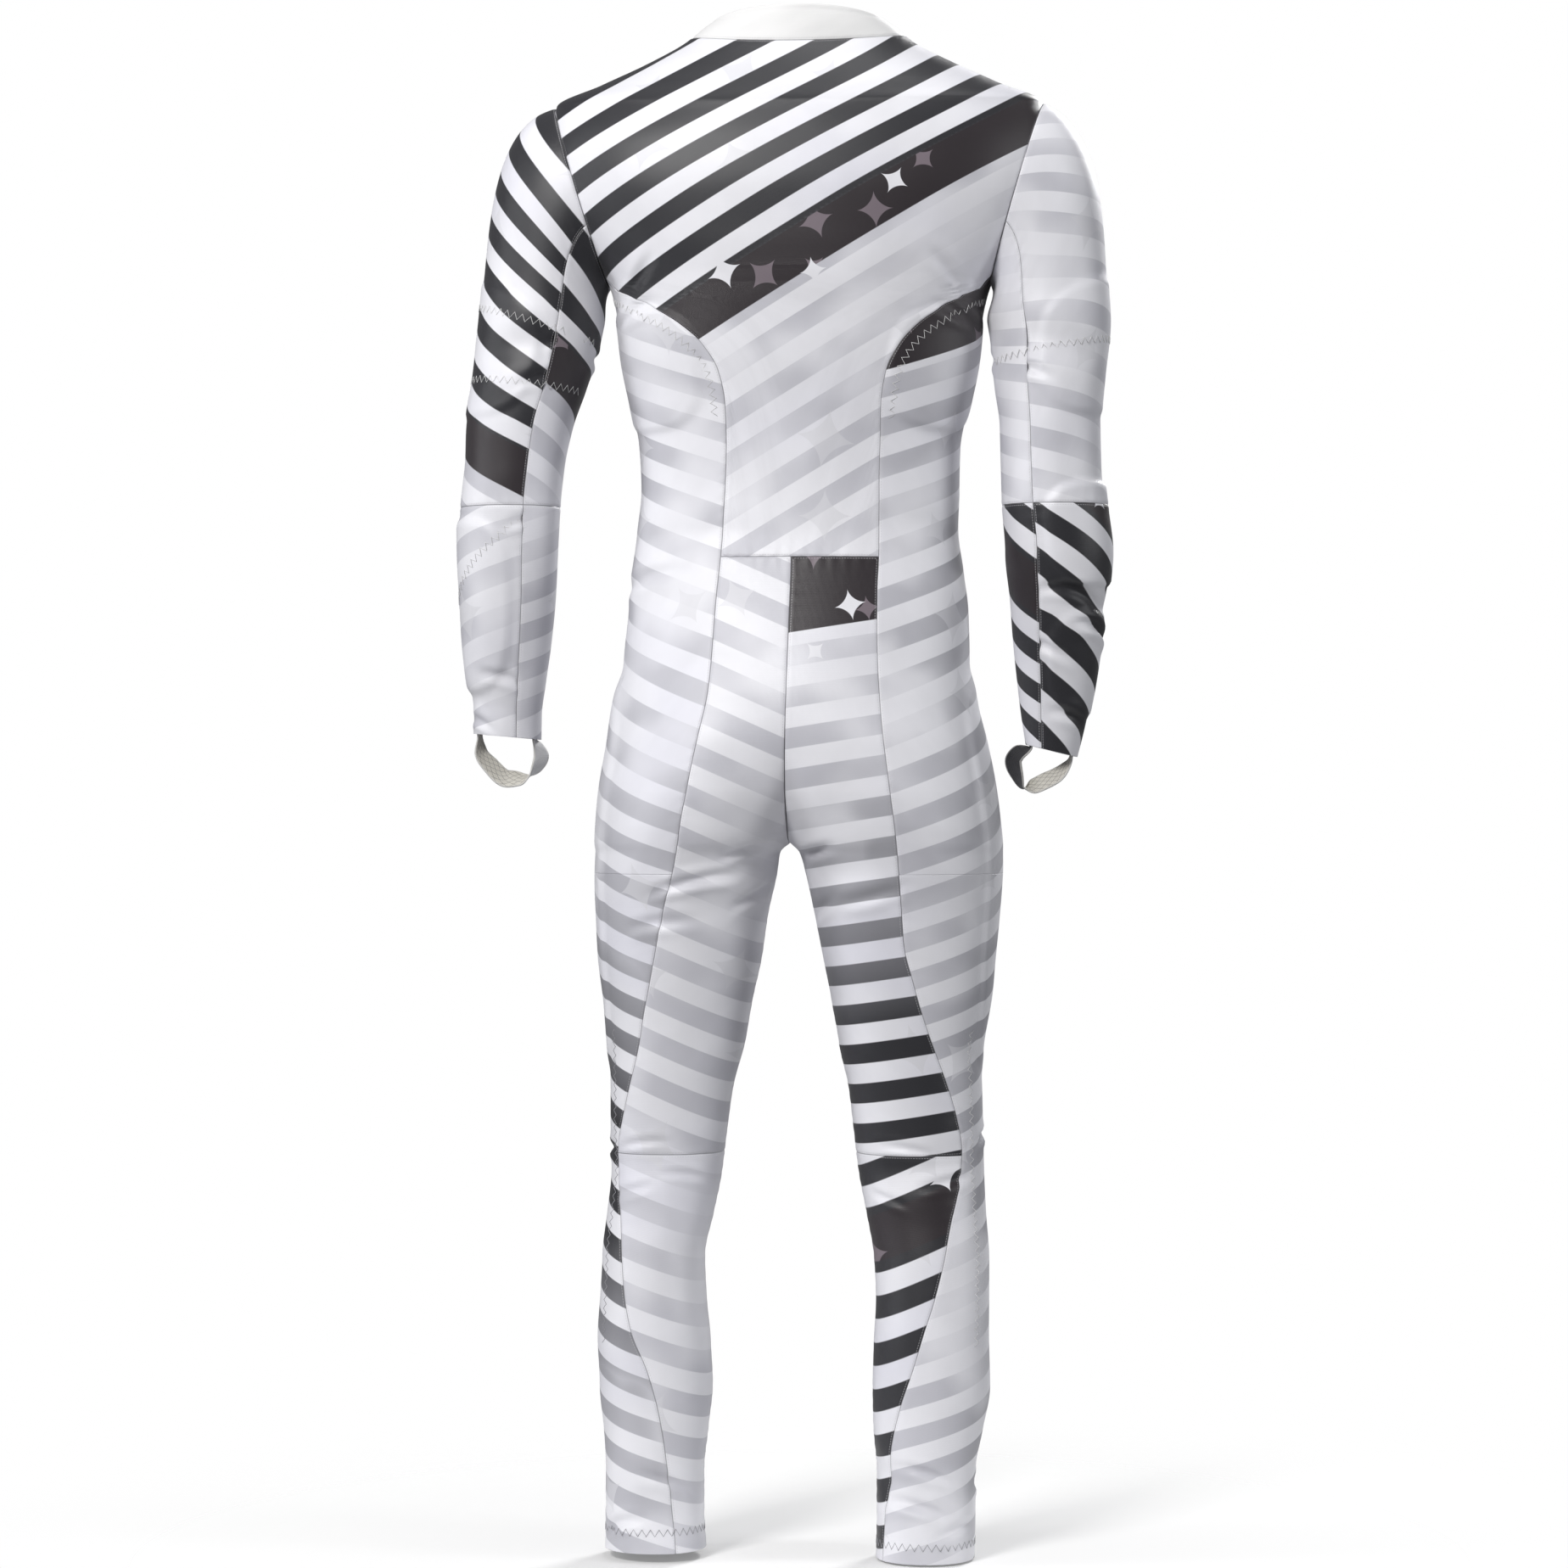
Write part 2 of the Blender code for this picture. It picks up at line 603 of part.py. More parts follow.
def bodice_front(side):
    edge_angle, edge_drop = upper_edge(side, front=True)
    middle = angle_at_x(side, edge_drop, zip_x(side, edge_drop), front=True)
    angle, drop = grid_between(middle, edge_angle, edge_drop, FRONT_COLUMNS)
    outer, inner = BODY_FACES(side, angle, drop)
    fit_armhole(side, outer, inner, -1, front=True)
    fit_neck(outer, inner)
    shift_edges(outer, inner, ("top", "bottom", "first", "last"))
    return add_solid(f"bodice_front_{side_name(side)}", outer, inner, CLOTH_GREY)


def zip_x(side, drop):
    """Distance of the zip tape's edge from x = 0 on one side, following the middle of the body."""
    return ZIP_HALF_WIDTH + side * np.interp(drop, TRUNK[0], TRUNK[1])


def side_name(side):
    return "left" if side == LEFT else "right"


def side_faces(side, rows, hem=False):
    """Both faces of a strip round the outer side of body or leg, between its two side seams."""
    drops, back_x, front_x = SEAMS[0][rows], SEAMS[1 if side == LEFT else 2][rows], SEAMS[3][rows]
    if hem:
        drops = np.append(drops, LEFT_HEM if side == LEFT else RIGHT_HEM)
        back_x = np.append(back_x, back_x[-1] - 3)
        front_x = np.append(front_x, front_x[-1])
    first = angle_at_x(side, drops, back_x)
    last = angle_at_x(side, drops, front_x, front=True)
    angle, drop = grid_between(first, last, drops, SIDE_COLUMNS)
    return BODY_FACES(side, angle, drop)


def leg_side(side):
    """The strip down the outer side of the leg, from the hip to the ankle."""
    outer, inner = side_faces(side, SEAMS[0] >= HIP, hem=True)
    shift_edges(outer, inner, ("top", "first", "last"))
    return add_solid(f"leg_side_{side_name(side)}", outer, inner, CLOTH_WHITE)


def side_panel(side):
    """The strip from the armpit to the hip, round the outer side of the body."""
    outer, inner = side_faces(side, SEAMS[0] <= HIP)
    ring, inwards = armhole_ring(side)
    bottom = SLEEVE_COLUMNS // 2
    top = [bottom + 1, bottom, bottom - 1]
    share = np.linspace(0, 2, SIDE_COLUMNS + 1)
    top_outer = np.stack([np.interp(share, (0, 1, 2), ring[top, k]) for k in range(3)], axis=-1)
    way = np.stack([np.interp(share, (0, 1, 2), inwards[top, k]) for k in range(3)], axis=-1)
    top_inner = top_outer + WALL * way / np.linalg.norm(way, axis=-1, keepdims=True)
    outer = np.concatenate([top_outer[None], outer])
    inner = np.concatenate([top_inner[None], inner])
    shift_edges(outer, inner, ("top", "bottom", "first", "last"))
    return add_solid(f"side_{side_name(side)}", outer, inner, CLOTH_WHITE)


def leg_panel(name, side, top, bottom, front, hem=False):
    """A panel between the middle or inside leg seam and a side seam, from one drop to another."""
    rows = (SEAMS[0] >= top) & (SEAMS[0] <= bottom)
    drops = SEAMS[0][rows]
    column = 3 if front else (1 if side == LEFT else 2)
    seam_x = SEAMS[column][rows]
    if hem:
        drops = np.append(drops, LEFT_HEM if side == LEFT else RIGHT_HEM)
        seam_x = np.append(seam_x, seam_x[-1] - (0 if front else 3))
    seam = angle_at_x(side, drops, seam_x, front)
    inner_edge = inner_angle(side, drops, front)
    columns = FRONT_COLUMNS + 1 if front else BACK_COLUMNS
    angle, drop = grid_between(inner_edge, seam, drops, columns)
    outer, inner = BODY_FACES(side, angle, drop)
    edges = ("top", "first", "last") if hem else ("top", "bottom", "first", "last")
    shift_edges(outer, inner, edges)
    return add_solid(f"{name}_{side_name(side)}", outer, inner, CLOTH_WHITE)


def cap_grid(side, columns):
    """The sleeve's cap: smooth lines from the armhole seam to the top of the arm."""
    ring, inwards = armhole_ring(side)
    top_drop = UPPER_ARM_DROPS[0]
    angle = arm_angles(columns)
    place = np.array(columns) % SLEEVE_COLUMNS
    start, start_in = ring[place], inwards[place]
    end = arm_base(side, angle, np.full(len(columns), float(top_drop)))
    below = arm_base(side, angle, np.full(len(columns), top_drop + 1.0))
    end_way = (below - end) / np.linalg.norm(below - end, axis=-1, keepdims=True)
    span = np.linalg.norm(end - start, axis=-1, keepdims=True)
    out = np.array([side * 1.0, 0, 0])
    high = np.clip((ARMHOLE_BOTTOM + start[:, 2:3]) / (ARMHOLE_BOTTOM - ARMHOLE_TOP), 0, 1)
    start_way = out * CAP_OUT[side] + np.array([0, 0, -1.0]) * (1 - CAP_OUT[side] * high)
    start_way = start_way / np.linalg.norm(start_way, axis=-1, keepdims=True)
    rows = []
    for t in np.linspace(0, 1, CAP_ROWS + 1):
        rows.append(
            (2 * t**3 - 3 * t**2 + 1) * start + (t**3 - 2 * t**2 + t) * span * start_way
            + (3 * t**2 - 2 * t**3) * end + (t**3 - t**2) * span * end_way
        )
    outer = np.array(rows)
    return outer, outer[0] + WALL * start_in


def arm_angles(columns):
    """Angle on the arm of each sleeve column: column 0 is the outer line, counted to the front."""
    return 2 * math.pi * np.array(columns) / SLEEVE_COLUMNS


def grid_inwards(outer, side, rim_top):
    """Inner face of a lofted grid: each point moved in along the grid's own normal."""
    across = np.gradient(outer, axis=1)
    down = np.gradient(outer, axis=0)
    n = np.cross(down, across) * side
    n = n / np.linalg.norm(n, axis=-1, keepdims=True)
    inner = outer - n * WALL
    inner[0] = rim_top
    return inner


def sleeve_piece(name, side, columns, drops, cap, edges):
    """A piece of sleeve. It is worked out one column wider each way, so that its wall meets the
    next piece's at the seam, and then cut."""
    wider = [columns[0] - 1] + columns + [columns[-1] + 1]
    grid_angle, grid_drop = np.meshgrid(arm_angles(wider), np.array(drops, float))
    outer, inner = ARM_FACES(side, grid_angle, grid_drop)
    if cap:
        upper, rim = cap_grid(side, wider)
        upper_inner = grid_inwards(np.concatenate([upper, outer[1:2]]), side, rim)[:-2]
        outer = np.concatenate([upper[:-1], outer])
        inner = np.concatenate([upper_inner, inner])
    outer, inner = outer[:, 1:-1].copy(), inner[:, 1:-1].copy()
    shift_edges(outer, inner, edges)
    return add_solid(f"{name}_{side_name(side)}", outer, inner, CLOTH_GREY)


def build_sleeve(side):
    outer_columns = list(range(-UNDER_SLEEVE, UNDER_SLEEVE + 1))
    inner_columns = list(range(UNDER_SLEEVE, SLEEVE_COLUMNS - UNDER_SLEEVE + 1))
    for name, columns in (("outer", outer_columns), ("under", inner_columns)):
        sleeve_piece(f"sleeve_{name}", side, columns, UPPER_ARM_DROPS, True, ("top", "bottom", "first", "last"))
        sleeve_piece(f"forearm_{name}", side, columns, FOREARM_DROPS[side], False, ("top", "first", "last"))


def build_panels():
    bodice_back()
    for side in (LEFT, RIGHT):
        bodice_front(side)
        side_panel(side)
        leg_side(side)
        build_sleeve(side)
        leg_panel("seat", side, BACK_WAIST, KNEE, front=False)
        leg_panel("calf", side, KNEE, LEFT_HEM, front=False, hem=True)
        leg_panel("thigh_front", side, FRONT_WAIST, KNEE, front=True)
        leg_panel("shin", side, KNEE, LEFT_HEM, front=True, hem=True)


def collar_ring(side, angle):
    """Points of the collar's top edge."""
    sine, cosine = np.sin(angle), np.cos(angle)
    y = COLLAR_MID_Y - np.where(cosine > 0, COLLAR_BACK, COLLAR_FRONT) * cosine
    ends = np.where(cosine > 0, COLLAR_UP_BACK, COLLAR_UP_FRONT)
    up = COLLAR_UP_SIDE + (ends - COLLAR_UP_SIDE) * np.abs(cosine) ** 1.2
    middle = TRUNK[1][0]
    return np.stack([side * (side * middle + COLLAR_HALF * sine), y, up], axis=-1)


def collar_front_angle(side, half_width):
    """Angle on the collar's top edge beside the zip."""
    return math.pi - math.asin(half_width / COLLAR_HALF)


def collar_lines(side, bottom_angle, top_angle):
    """Both faces of the collar along lines from its top edge down to the neck seam."""
    base = body_base(side, bottom_angle, np.zeros(len(bottom_angle)))
    top = collar_ring(side, top_angle)
    share = np.linspace(0, 1, COLLAR_ROWS + 1)[:, None, None]
    return top * (1 - share) + base * share


def collar_angles(side):
    back = np.linspace(0, OUTER, BACK_COLUMNS + 1)
    at_neck = angle_at_x(side, 0.0, zip_x(side, 0.0), front=True)
    front = np.linspace(OUTER, float(at_neck), FRONT_COLUMNS + 1)[1:]
    top_front = np.linspace(OUTER, collar_front_angle(side, ZIP_HALF_WIDTH), FRONT_COLUMNS + 1)[1:]
    return np.concatenate([back, front]), np.concatenate([back, top_front])


def collar():
    halves = {}
    for side in (LEFT, RIGHT):
        halves[side] = collar_lines(side, *collar_angles(side))
    outer = np.concatenate([halves[LEFT][:, :0:-1], halves[RIGHT]], axis=1)
    middle = outer.mean(axis=(0, 1)) * (0, 0, 1) + (0, -6, 0)
    n = np.cross(np.gradient(outer, axis=0), np.gradient(outer, axis=1))
    n = n / np.linalg.norm(n, axis=-1, keepdims=True)
    facing = np.sign(np.sum(n * (outer - middle) * (1, 1, 0), axis=-1, keepdims=True))
    inner = outer - n * facing * WALL
    fit_neck(outer, inner, row=-1)
    shift_edges(outer, inner, ("bottom", "first", "last"))
    return add_solid("collar", outer, inner, COLLAR_GREY)


def zip_lines():
    """Outer points of the zip tape, from the collar's top to the foot, and the way out of the cloth."""
    offsets = (-ZIP_HALF_WIDTH, -CHAIN_HALF_WIDTH, CHAIN_HALF_WIDTH, ZIP_HALF_WIDTH)
    drops = upper_edge(LEFT, front=True)[1]
    columns = []
    for offset in offsets:
        side = LEFT if offset < 0 else RIGHT
        x = zip_x(side, drops) - ZIP_HALF_WIDTH + abs(offset)
        angle = angle_at_x(side, drops, x, front=True)
        body = body_base(side, angle, drops)
        top_angle = np.array([collar_front_angle(side, abs(offset))])
        neck = collar_lines(side, angle[:1], top_angle)[:-1, 0]
        columns.append(np.concatenate([neck, body]))
    outer = np.stack(columns, axis=1)
    n = np.cross(np.gradient(outer, axis=0), np.gradient(outer, axis=1))
    n = n / np.linalg.norm(n, axis=-1, keepdims=True)
    return outer, n * np.sign(n[..., 1:2])


def zip_tape():
    outer, n = zip_lines()
    inner = outer - n * WALL
    fit_neck(outer, inner, row=COLLAR_ROWS)
    outer = outer + n * CHAIN_HEIGHT * np.array([0, 1, 1, 0])[None, :, None]
    shift_edges(outer, inner, ("bottom", "first", "last"))
    return add_solid("zip_tape", outer, inner, CLOTH_BLACK)


def slider_frame():
    """Axis of the pull's bar and the slider's directions: across, up the zip, out of the cloth."""
    outer, n = zip_lines()
    line = outer[:, 1:3].mean(axis=1)
    out = n[:, 1:3].mean(axis=1)
    length = np.concatenate([[0], np.cumsum(np.linalg.norm(np.diff(line, axis=0), axis=1))])
    here = np.array([np.interp(SLIDER_DROP, length, line[:, k]) for k in range(3)])
    above = np.array([np.interp(SLIDER_DROP - 5, length, line[:, k]) for k in range(3)])
    way_out = np.array([np.interp(SLIDER_DROP, length, out[:, k]) for k in range(3)])
    up = (above - here) / np.linalg.norm(above - here)
    across = np.array([1.0, 0, 0])
    away = np.cross(up, across)
    away = away * np.sign(np.dot(away, way_out)) / np.linalg.norm(away)
    up = np.cross(across, away)
    up = up * np.sign(up[2])
    rise = CHAIN_HEIGHT + SEAM_GAP + SLIDER_THICK + BRIDGE_CLEAR / 2
    return here + away * rise, across, up, away


def block(low, high):
    """A box between two corners, in a slider's own directions."""
    mesh = bpy.data.meshes.new("block")
    shape = bmesh.new()
    bmesh.ops.create_cube(shape, size=1.0)
    low, high = np.array(low, float), np.array(high, float)
    for vertex in shape.verts:
        vertex.co = (low + high) / 2 + (high - low) * np.array(vertex.co)
    bmesh.ops.recalc_face_normals(shape, faces=shape.faces)
    shape.to_mesh(mesh)
    shape.free()
    return bpy.data.objects.new("block", mesh)


def combine(base, tool, operation):
    """Joins a block to another, or cuts it out, and leaves one mesh."""
    for made in (base, tool):
        bpy.context.scene.collection.objects.link(made)
    modifier = base.modifiers.new("combine", "BOOLEAN")
    modifier.operation = operation
    modifier.solver = "EXACT"
    modifier.object = tool
    bpy.context.view_layer.update()
    evaluated = base.evaluated_get(bpy.context.evaluated_depsgraph_get())
    mesh = bpy.data.meshes.new_from_object(evaluated)
    for made in (base, tool):
        bpy.data.objects.remove(made, do_unlink=True)
    return bpy.data.objects.new("block", mesh)


def place_block(made, name, origin, axes, colour):
    """Takes a block from its own directions to the garment's, in metres."""
    mesh = made.data
    points = np.array([tuple(v.co) for v in mesh.vertices])
    placed = (origin + points @ np.array(axes)) * MM
    mesh.vertices.foreach_set("co", placed.ravel())
    bpy.data.objects.remove(made, do_unlink=True)
    shape = bmesh.new()
    shape.from_mesh(mesh)
    bmesh.ops.recalc_face_normals(shape, faces=shape.faces)
    bmesh.ops.triangulate(shape, faces=shape.faces)
    shape.to_mesh(mesh)
    shape.free()
    mesh.materials.clear()
    return add_object(name, mesh, colour, metallic=1.0, roughness=0.35)


def slider_and_pull():
    axis, across, up, away = slider_frame()
    under = -BRIDGE_CLEAR / 2
    length = BRIDGE_SPAN + BRIDGE_THICK
    plate = block((-SLIDER_HALF[0], -SLIDER_HALF[1], under - SLIDER_THICK),
                  (SLIDER_HALF[0], SLIDER_HALF[1], under))
    bridge = block((-BRIDGE_HALF_WIDTH, -length, under - 1), (BRIDGE_HALF_WIDTH, length, -under + BRIDGE_THICK))
    arch = block((-SLIDER_HALF[0], -BRIDGE_SPAN, under - 1.5), (SLIDER_HALF[0], BRIDGE_SPAN, -under))
    bridge = combine(bridge, arch, "DIFFERENCE")
    slider = combine(plate, bridge, "UNION")
    place_block(slider, "zip_slider", axis, (across, up, away), METAL)
    half = TAB_THICK / 2
    tab = block((-TAB_HALF_WIDTH, half - TAB_LENGTH, -half), (TAB_HALF_WIDTH, half, half))
    wide, long = TAB_WINDOW
    window = block((-wide, -half - long, -2 * half), (wide, -half, 2 * half))
    tab = combine(tab, window, "DIFFERENCE")
    lean = math.radians(TAB_LEAN)
    tab_up = up * math.cos(lean) - away * math.sin(lean)
    tab_away = away * math.cos(lean) + up * math.sin(lean)
    place_block(tab, "zip_pull", axis, (across, tab_up, tab_away), METAL)


def hand_loop(side):
    """A strap bent through the rows of its table, with its ends inside the cuff."""
    rows = np.array(LOOP_ROWS[side], float)
    length = np.concatenate([[0], np.cumsum(np.linalg.norm(np.diff(rows[:, :3], axis=0), axis=1))])
    at = np.linspace(0, length[-1], LOOP_STEPS + 1)
    x, y, below, lean = (smooth_table(length, rows[:, k], at) for k in range(4))
    last = ARM_ROWS[side][-1]
    line = np.stack([side * last[1] + x, last[3] + y, -(last[0] + below)], axis=-1)
    way = np.gradient(line, axis=0) * (1, 0, 1)
    way = way / np.linalg.norm(way, axis=1, keepdims=True)
    into = np.stack([-way[:, 2], np.zeros(len(way)), way[:, 0]], axis=-1)
    lean = np.radians(lean)[:, None]
    wide = np.cos(lean) * np.array([0, 1.0, 0]) + np.sin(lean) * into
    face = np.cos(lean) * into - np.sin(lean) * np.array([0, 1.0, 0])
    ends = np.clip(1 - np.minimum(at, length[-1] - at) / 16, 0, 1)[:, None]
    across = np.linspace(-0.5, 0.5, 5)
    outer, inner = [], []
    for share in across:
        bow = LOOP_BOW[side] * (1 - (2 * share) ** 2) * ends
        middle = line + wide * share * LOOP_WIDTH - face * bow
        outer.append(middle - face * LOOP_WALL / 2)
        inner.append(middle + face * LOOP_WALL / 2)
    return add_solid(
        f"hand_loop_{side_name(side)}", np.stack(outer, axis=1), np.stack(inner, axis=1), LOOP_BEIGE
    )


def clear_scene():
    for old in list(bpy.data.objects):
        bpy.data.objects.remove(old, do_unlink=True)


def main():
    clear_scene()
    build_panels()
    collar()
    zip_tape()
    slider_and_pull()
    hand_loop(LEFT)
    hand_loop(RIGHT)


main()
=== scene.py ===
# Looks of a ski race suit in its worn, hollow shape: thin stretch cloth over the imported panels,
# with seams, zigzag stitching, soft creases, a plain striped print, hand loops and a front zip.
# Frame: +Z up and the wearer faces +Y, so the camera sees the back. The wearer's left is -X.
# Table rows are in millimetres, and a drop is a height measured down from the neck.

import json
import math

import bmesh
import bpy
import numpy as np
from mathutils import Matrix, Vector

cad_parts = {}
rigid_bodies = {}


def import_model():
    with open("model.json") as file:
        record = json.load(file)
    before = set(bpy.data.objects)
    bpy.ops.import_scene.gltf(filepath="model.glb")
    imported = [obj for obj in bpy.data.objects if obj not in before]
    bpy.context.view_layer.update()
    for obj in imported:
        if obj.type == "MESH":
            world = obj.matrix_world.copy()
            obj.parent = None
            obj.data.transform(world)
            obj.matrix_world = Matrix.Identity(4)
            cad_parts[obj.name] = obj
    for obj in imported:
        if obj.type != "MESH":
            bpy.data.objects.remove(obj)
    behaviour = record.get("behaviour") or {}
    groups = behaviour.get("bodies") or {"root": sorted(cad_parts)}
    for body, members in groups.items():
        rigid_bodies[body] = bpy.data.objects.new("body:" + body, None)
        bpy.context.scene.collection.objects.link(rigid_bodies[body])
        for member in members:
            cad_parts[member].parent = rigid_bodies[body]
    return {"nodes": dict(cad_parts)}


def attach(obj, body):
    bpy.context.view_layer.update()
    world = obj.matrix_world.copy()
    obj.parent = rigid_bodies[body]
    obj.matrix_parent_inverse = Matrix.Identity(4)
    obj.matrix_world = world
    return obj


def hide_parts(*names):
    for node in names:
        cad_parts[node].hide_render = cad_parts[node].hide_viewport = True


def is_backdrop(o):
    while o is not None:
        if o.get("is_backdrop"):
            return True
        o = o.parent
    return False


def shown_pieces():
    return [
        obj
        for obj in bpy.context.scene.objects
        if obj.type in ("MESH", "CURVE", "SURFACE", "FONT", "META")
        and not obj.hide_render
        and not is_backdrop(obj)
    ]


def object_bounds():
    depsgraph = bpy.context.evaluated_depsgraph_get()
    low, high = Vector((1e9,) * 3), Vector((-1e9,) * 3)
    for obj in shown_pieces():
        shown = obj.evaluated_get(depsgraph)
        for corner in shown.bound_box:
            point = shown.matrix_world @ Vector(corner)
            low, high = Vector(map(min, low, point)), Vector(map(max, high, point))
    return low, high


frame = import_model()
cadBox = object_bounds()

mm = 0.001
left = -1
right = 1
sideNames = {left: "left", right: "right"}
outerLine = math.pi / 2

# The suit's cut, the same as the solids': where its seams lie and how wide it is.
cut = {
    "armholeTop": 66, "armholeBottom": 238, "armholeTopX": 234, "armholeBottomX": 183, "armholeDepth": 70,
    "neckDipFront": 56, "neckDipBack": 13, "neckDipEnds": 170,
    "backWaist": 502, "frontWaist": 600, "crotch": 772, "hip": 801, "knee": 1068,
    "hem": {left: 1446, right: 1453}, "zipHalfWidth": 12,
    "armTop": 255, "capTop": 135, "elbow": 450, "cuff": {left: 670, right: 684},
    "capOut": {left: 0.85, right: 0.7}, "wall": 1.7,
}

# Trunk: drop, middle x, half widths left and right, share at which each half's centre lies, middle y,
# depth to the back and the front, squareness.
trunkRows = np.array((
    (0, 0, 103, 102, 0, -6, 68, 60, 2.2), (8, 0, 115, 113, 0, -6, 74, 64, 2.2),
    (26, 0, 149, 148, 0, -6, 86, 72, 2.2), (46, 0, 192, 191, 0, -6, 97, 82, 2.3),
    (66, 0, 234, 234, 0, -6, 106, 90, 2.3), (110, 0, 236, 236, 0, -5, 117, 108, 2.4),
    (160, 0, 226, 226, 0, -3, 122, 121, 2.4), (200, 0, 206, 206, 0, -1, 121, 128, 2.4),
    (238, 0, 183, 183, 0, 0, 117, 130, 2.4), (271, 0, 175, 175, 0, 1, 112, 129, 2.4),
    (312, 0, 170, 170, 0, 2, 106, 126, 2.4), (352, 0, 162, 162, 0, 3, 100, 121, 2.35),
    (393, 0, 155, 154, 0, 4, 96, 116, 2.3), (434, 0, 153, 153, 0, 4, 94, 112, 2.3),
    (475, -2, 155, 154, 0, 3, 95, 110, 2.3), (516, -2, 160, 160, 0, 1, 101, 109, 2.3),
    (556, -3, 162, 165, 0, -2, 109, 108, 2.3), (597, -4, 165, 167, 0, -4, 117, 107, 2.25),
    (638, -5, 172, 173, 0.09, -5, 124, 105, 2.2), (679, -6, 177, 184, 0.24, -5, 128, 102, 2.2),
    (720, -7, 183, 193, 0.37, -5, 127, 99, 2.2), (752, -8, 185, 198, 0.46, -4, 123, 97, 2.2),
    (772, -9, 185, 201, 0.5, -4, 118, 96, 2.2),
), float)

# Legs: drop, left centre, left half width, right centre, right half width, y, depth to back and front.
legRows = np.array((
    (781, 106, 87, 96, 96, -4, 115, 95), (801, 108, 86, 99, 93, -4, 110, 93),
    (842, 112, 81, 102, 87, -4, 100, 89), (883, 114, 77, 104, 81, -4, 92, 85),
    (924, 116, 70, 106, 75, -4, 84, 80), (964, 118, 65, 106, 68, -4, 77, 75),
    (1005, 123, 59, 111, 64, -4, 71, 71), (1046, 126, 56, 114, 62, -4, 66, 68),
    (1087, 128, 53, 117, 60, -5, 63, 66), (1128, 134, 51, 122, 57, -8, 64, 62),
    (1168, 140, 49, 127, 55, -12, 66, 57), (1209, 140, 51, 128, 54, -15, 67, 53),
    (1250, 139, 54, 127, 55, -17, 66, 51), (1291, 137, 54, 127, 56, -18, 63, 50),
    (1332, 137, 50, 124, 52, -19, 58, 49), (1372, 138, 47, 122, 47, -20, 53, 49),
    (1413, 138, 47, 122, 47, -20, 51, 50), (1456, 137, 49, 121, 47, -20, 52, 51),
), float)

# Seams below the armpit: drop, x of the back side seam on the left and the right, x of the front one.
seamRows = np.array((
    (246, 172, 174, 174), (256, 152, 156, 163), (268, 129, 136, 151), (283, 106, 116, 140),
    (302, 86, 99, 129), (327, 71, 87, 119), (357, 65, 82, 111), (393, 64, 81, 106), (430, 65, 80, 106),
    (466, 67, 80, 108), (502, 69, 80, 111), (534, 72, 79, 115), (567, 74, 79, 119), (600, 76, 80, 124),
    (632, 79, 82, 130), (665, 86, 85, 137), (697, 93, 89, 143), (728, 99, 93, 147), (752, 104, 96, 149),
    (772, 107, 98, 150), (801, 113, 100, 151), (834, 122, 102, 151), (867, 129, 104, 151),
    (901, 136, 112, 150), (934, 143, 121, 148), (967, 149, 132, 146), (1001, 158, 144, 144),
    (1034, 166, 153, 143), (1068, 172, 158, 144), (1100, 170, 154, 147), (1133, 167, 147, 150),
    (1166, 165, 141, 153), (1199, 162, 133, 154), (1234, 155, 122, 153), (1270, 140, 111, 151),
    (1306, 130, 99, 148), (1342, 124, 91, 146), (1378, 120, 88, 145), (1414, 116, 84, 144),
    (1456, 113, 81, 144),
), float)

# Arms: drop, centre x, half width, middle y, half depth, how much the ring tilts down inwards.
armRows = {
    left: np.array((
        (255, 247, 58, -6, 62, 20), (291, 252, 57, -8, 60, 12), (332, 260, 54, -10, 57, 5),
        (373, 270, 51, -12, 54, 2), (414, 275, 48, -12, 51, 0), (450, 279, 48, -10, 50, 0),
        (495, 281, 47, -4, 49, 0), (536, 282, 45, 4, 47, 0), (577, 284, 42, 13, 43, 0),
        (618, 286, 37, 23, 38, 0), (650, 287, 33, 31, 35, 0), (670, 288, 33, 36, 34, 3),
    ), float),
    right: np.array((
        (255, 237, 57, -6, 62, 20), (291, 240, 56, -8, 60, 12), (332, 239, 52, -10, 57, 5),
        (373, 240, 48, -12, 54, 2), (414, 241, 48, -12, 51, 0), (450, 243, 49, -10, 50, 0),
        (495, 247, 50, -4, 50, 0), (536, 247, 46, 4, 47, 0), (577, 246, 42, 13, 43, 0),
        (618, 245, 37, 23, 38, 0), (655, 243, 31, 32, 34, -3), (684, 241, 25, 39, 32, -6),
    ), float),
}

# Pads under the cloth of each limb: mid angle in degrees, mid drop, half size round the limb in
# degrees, half size down it, height.
padRows = {
    ("body", left): (
        (100, 800, 42, 200, 3), (62, 322, 36, 62, 2.5), (175, 1180, 50, 150, 3),
    ),
    ("body", right): (
        (100, 800, 42, 200, 3), (62, 322, 36, 62, 2.5), (175, 1180, 50, 150, 3),
    ),
    ("arm", left): (
        (-30, 545, 75, 88, 3.5), (-30, 310, 75, 60, 2),
    ),
    ("arm", right): (
        (-30, 478, 75, 52, 3.5), (-30, 600, 75, 52, 2.5), (-30, 310, 75, 60, 2),
    ),
}
padEdge = 0.13  # share of a pad's half size over which its edge rises

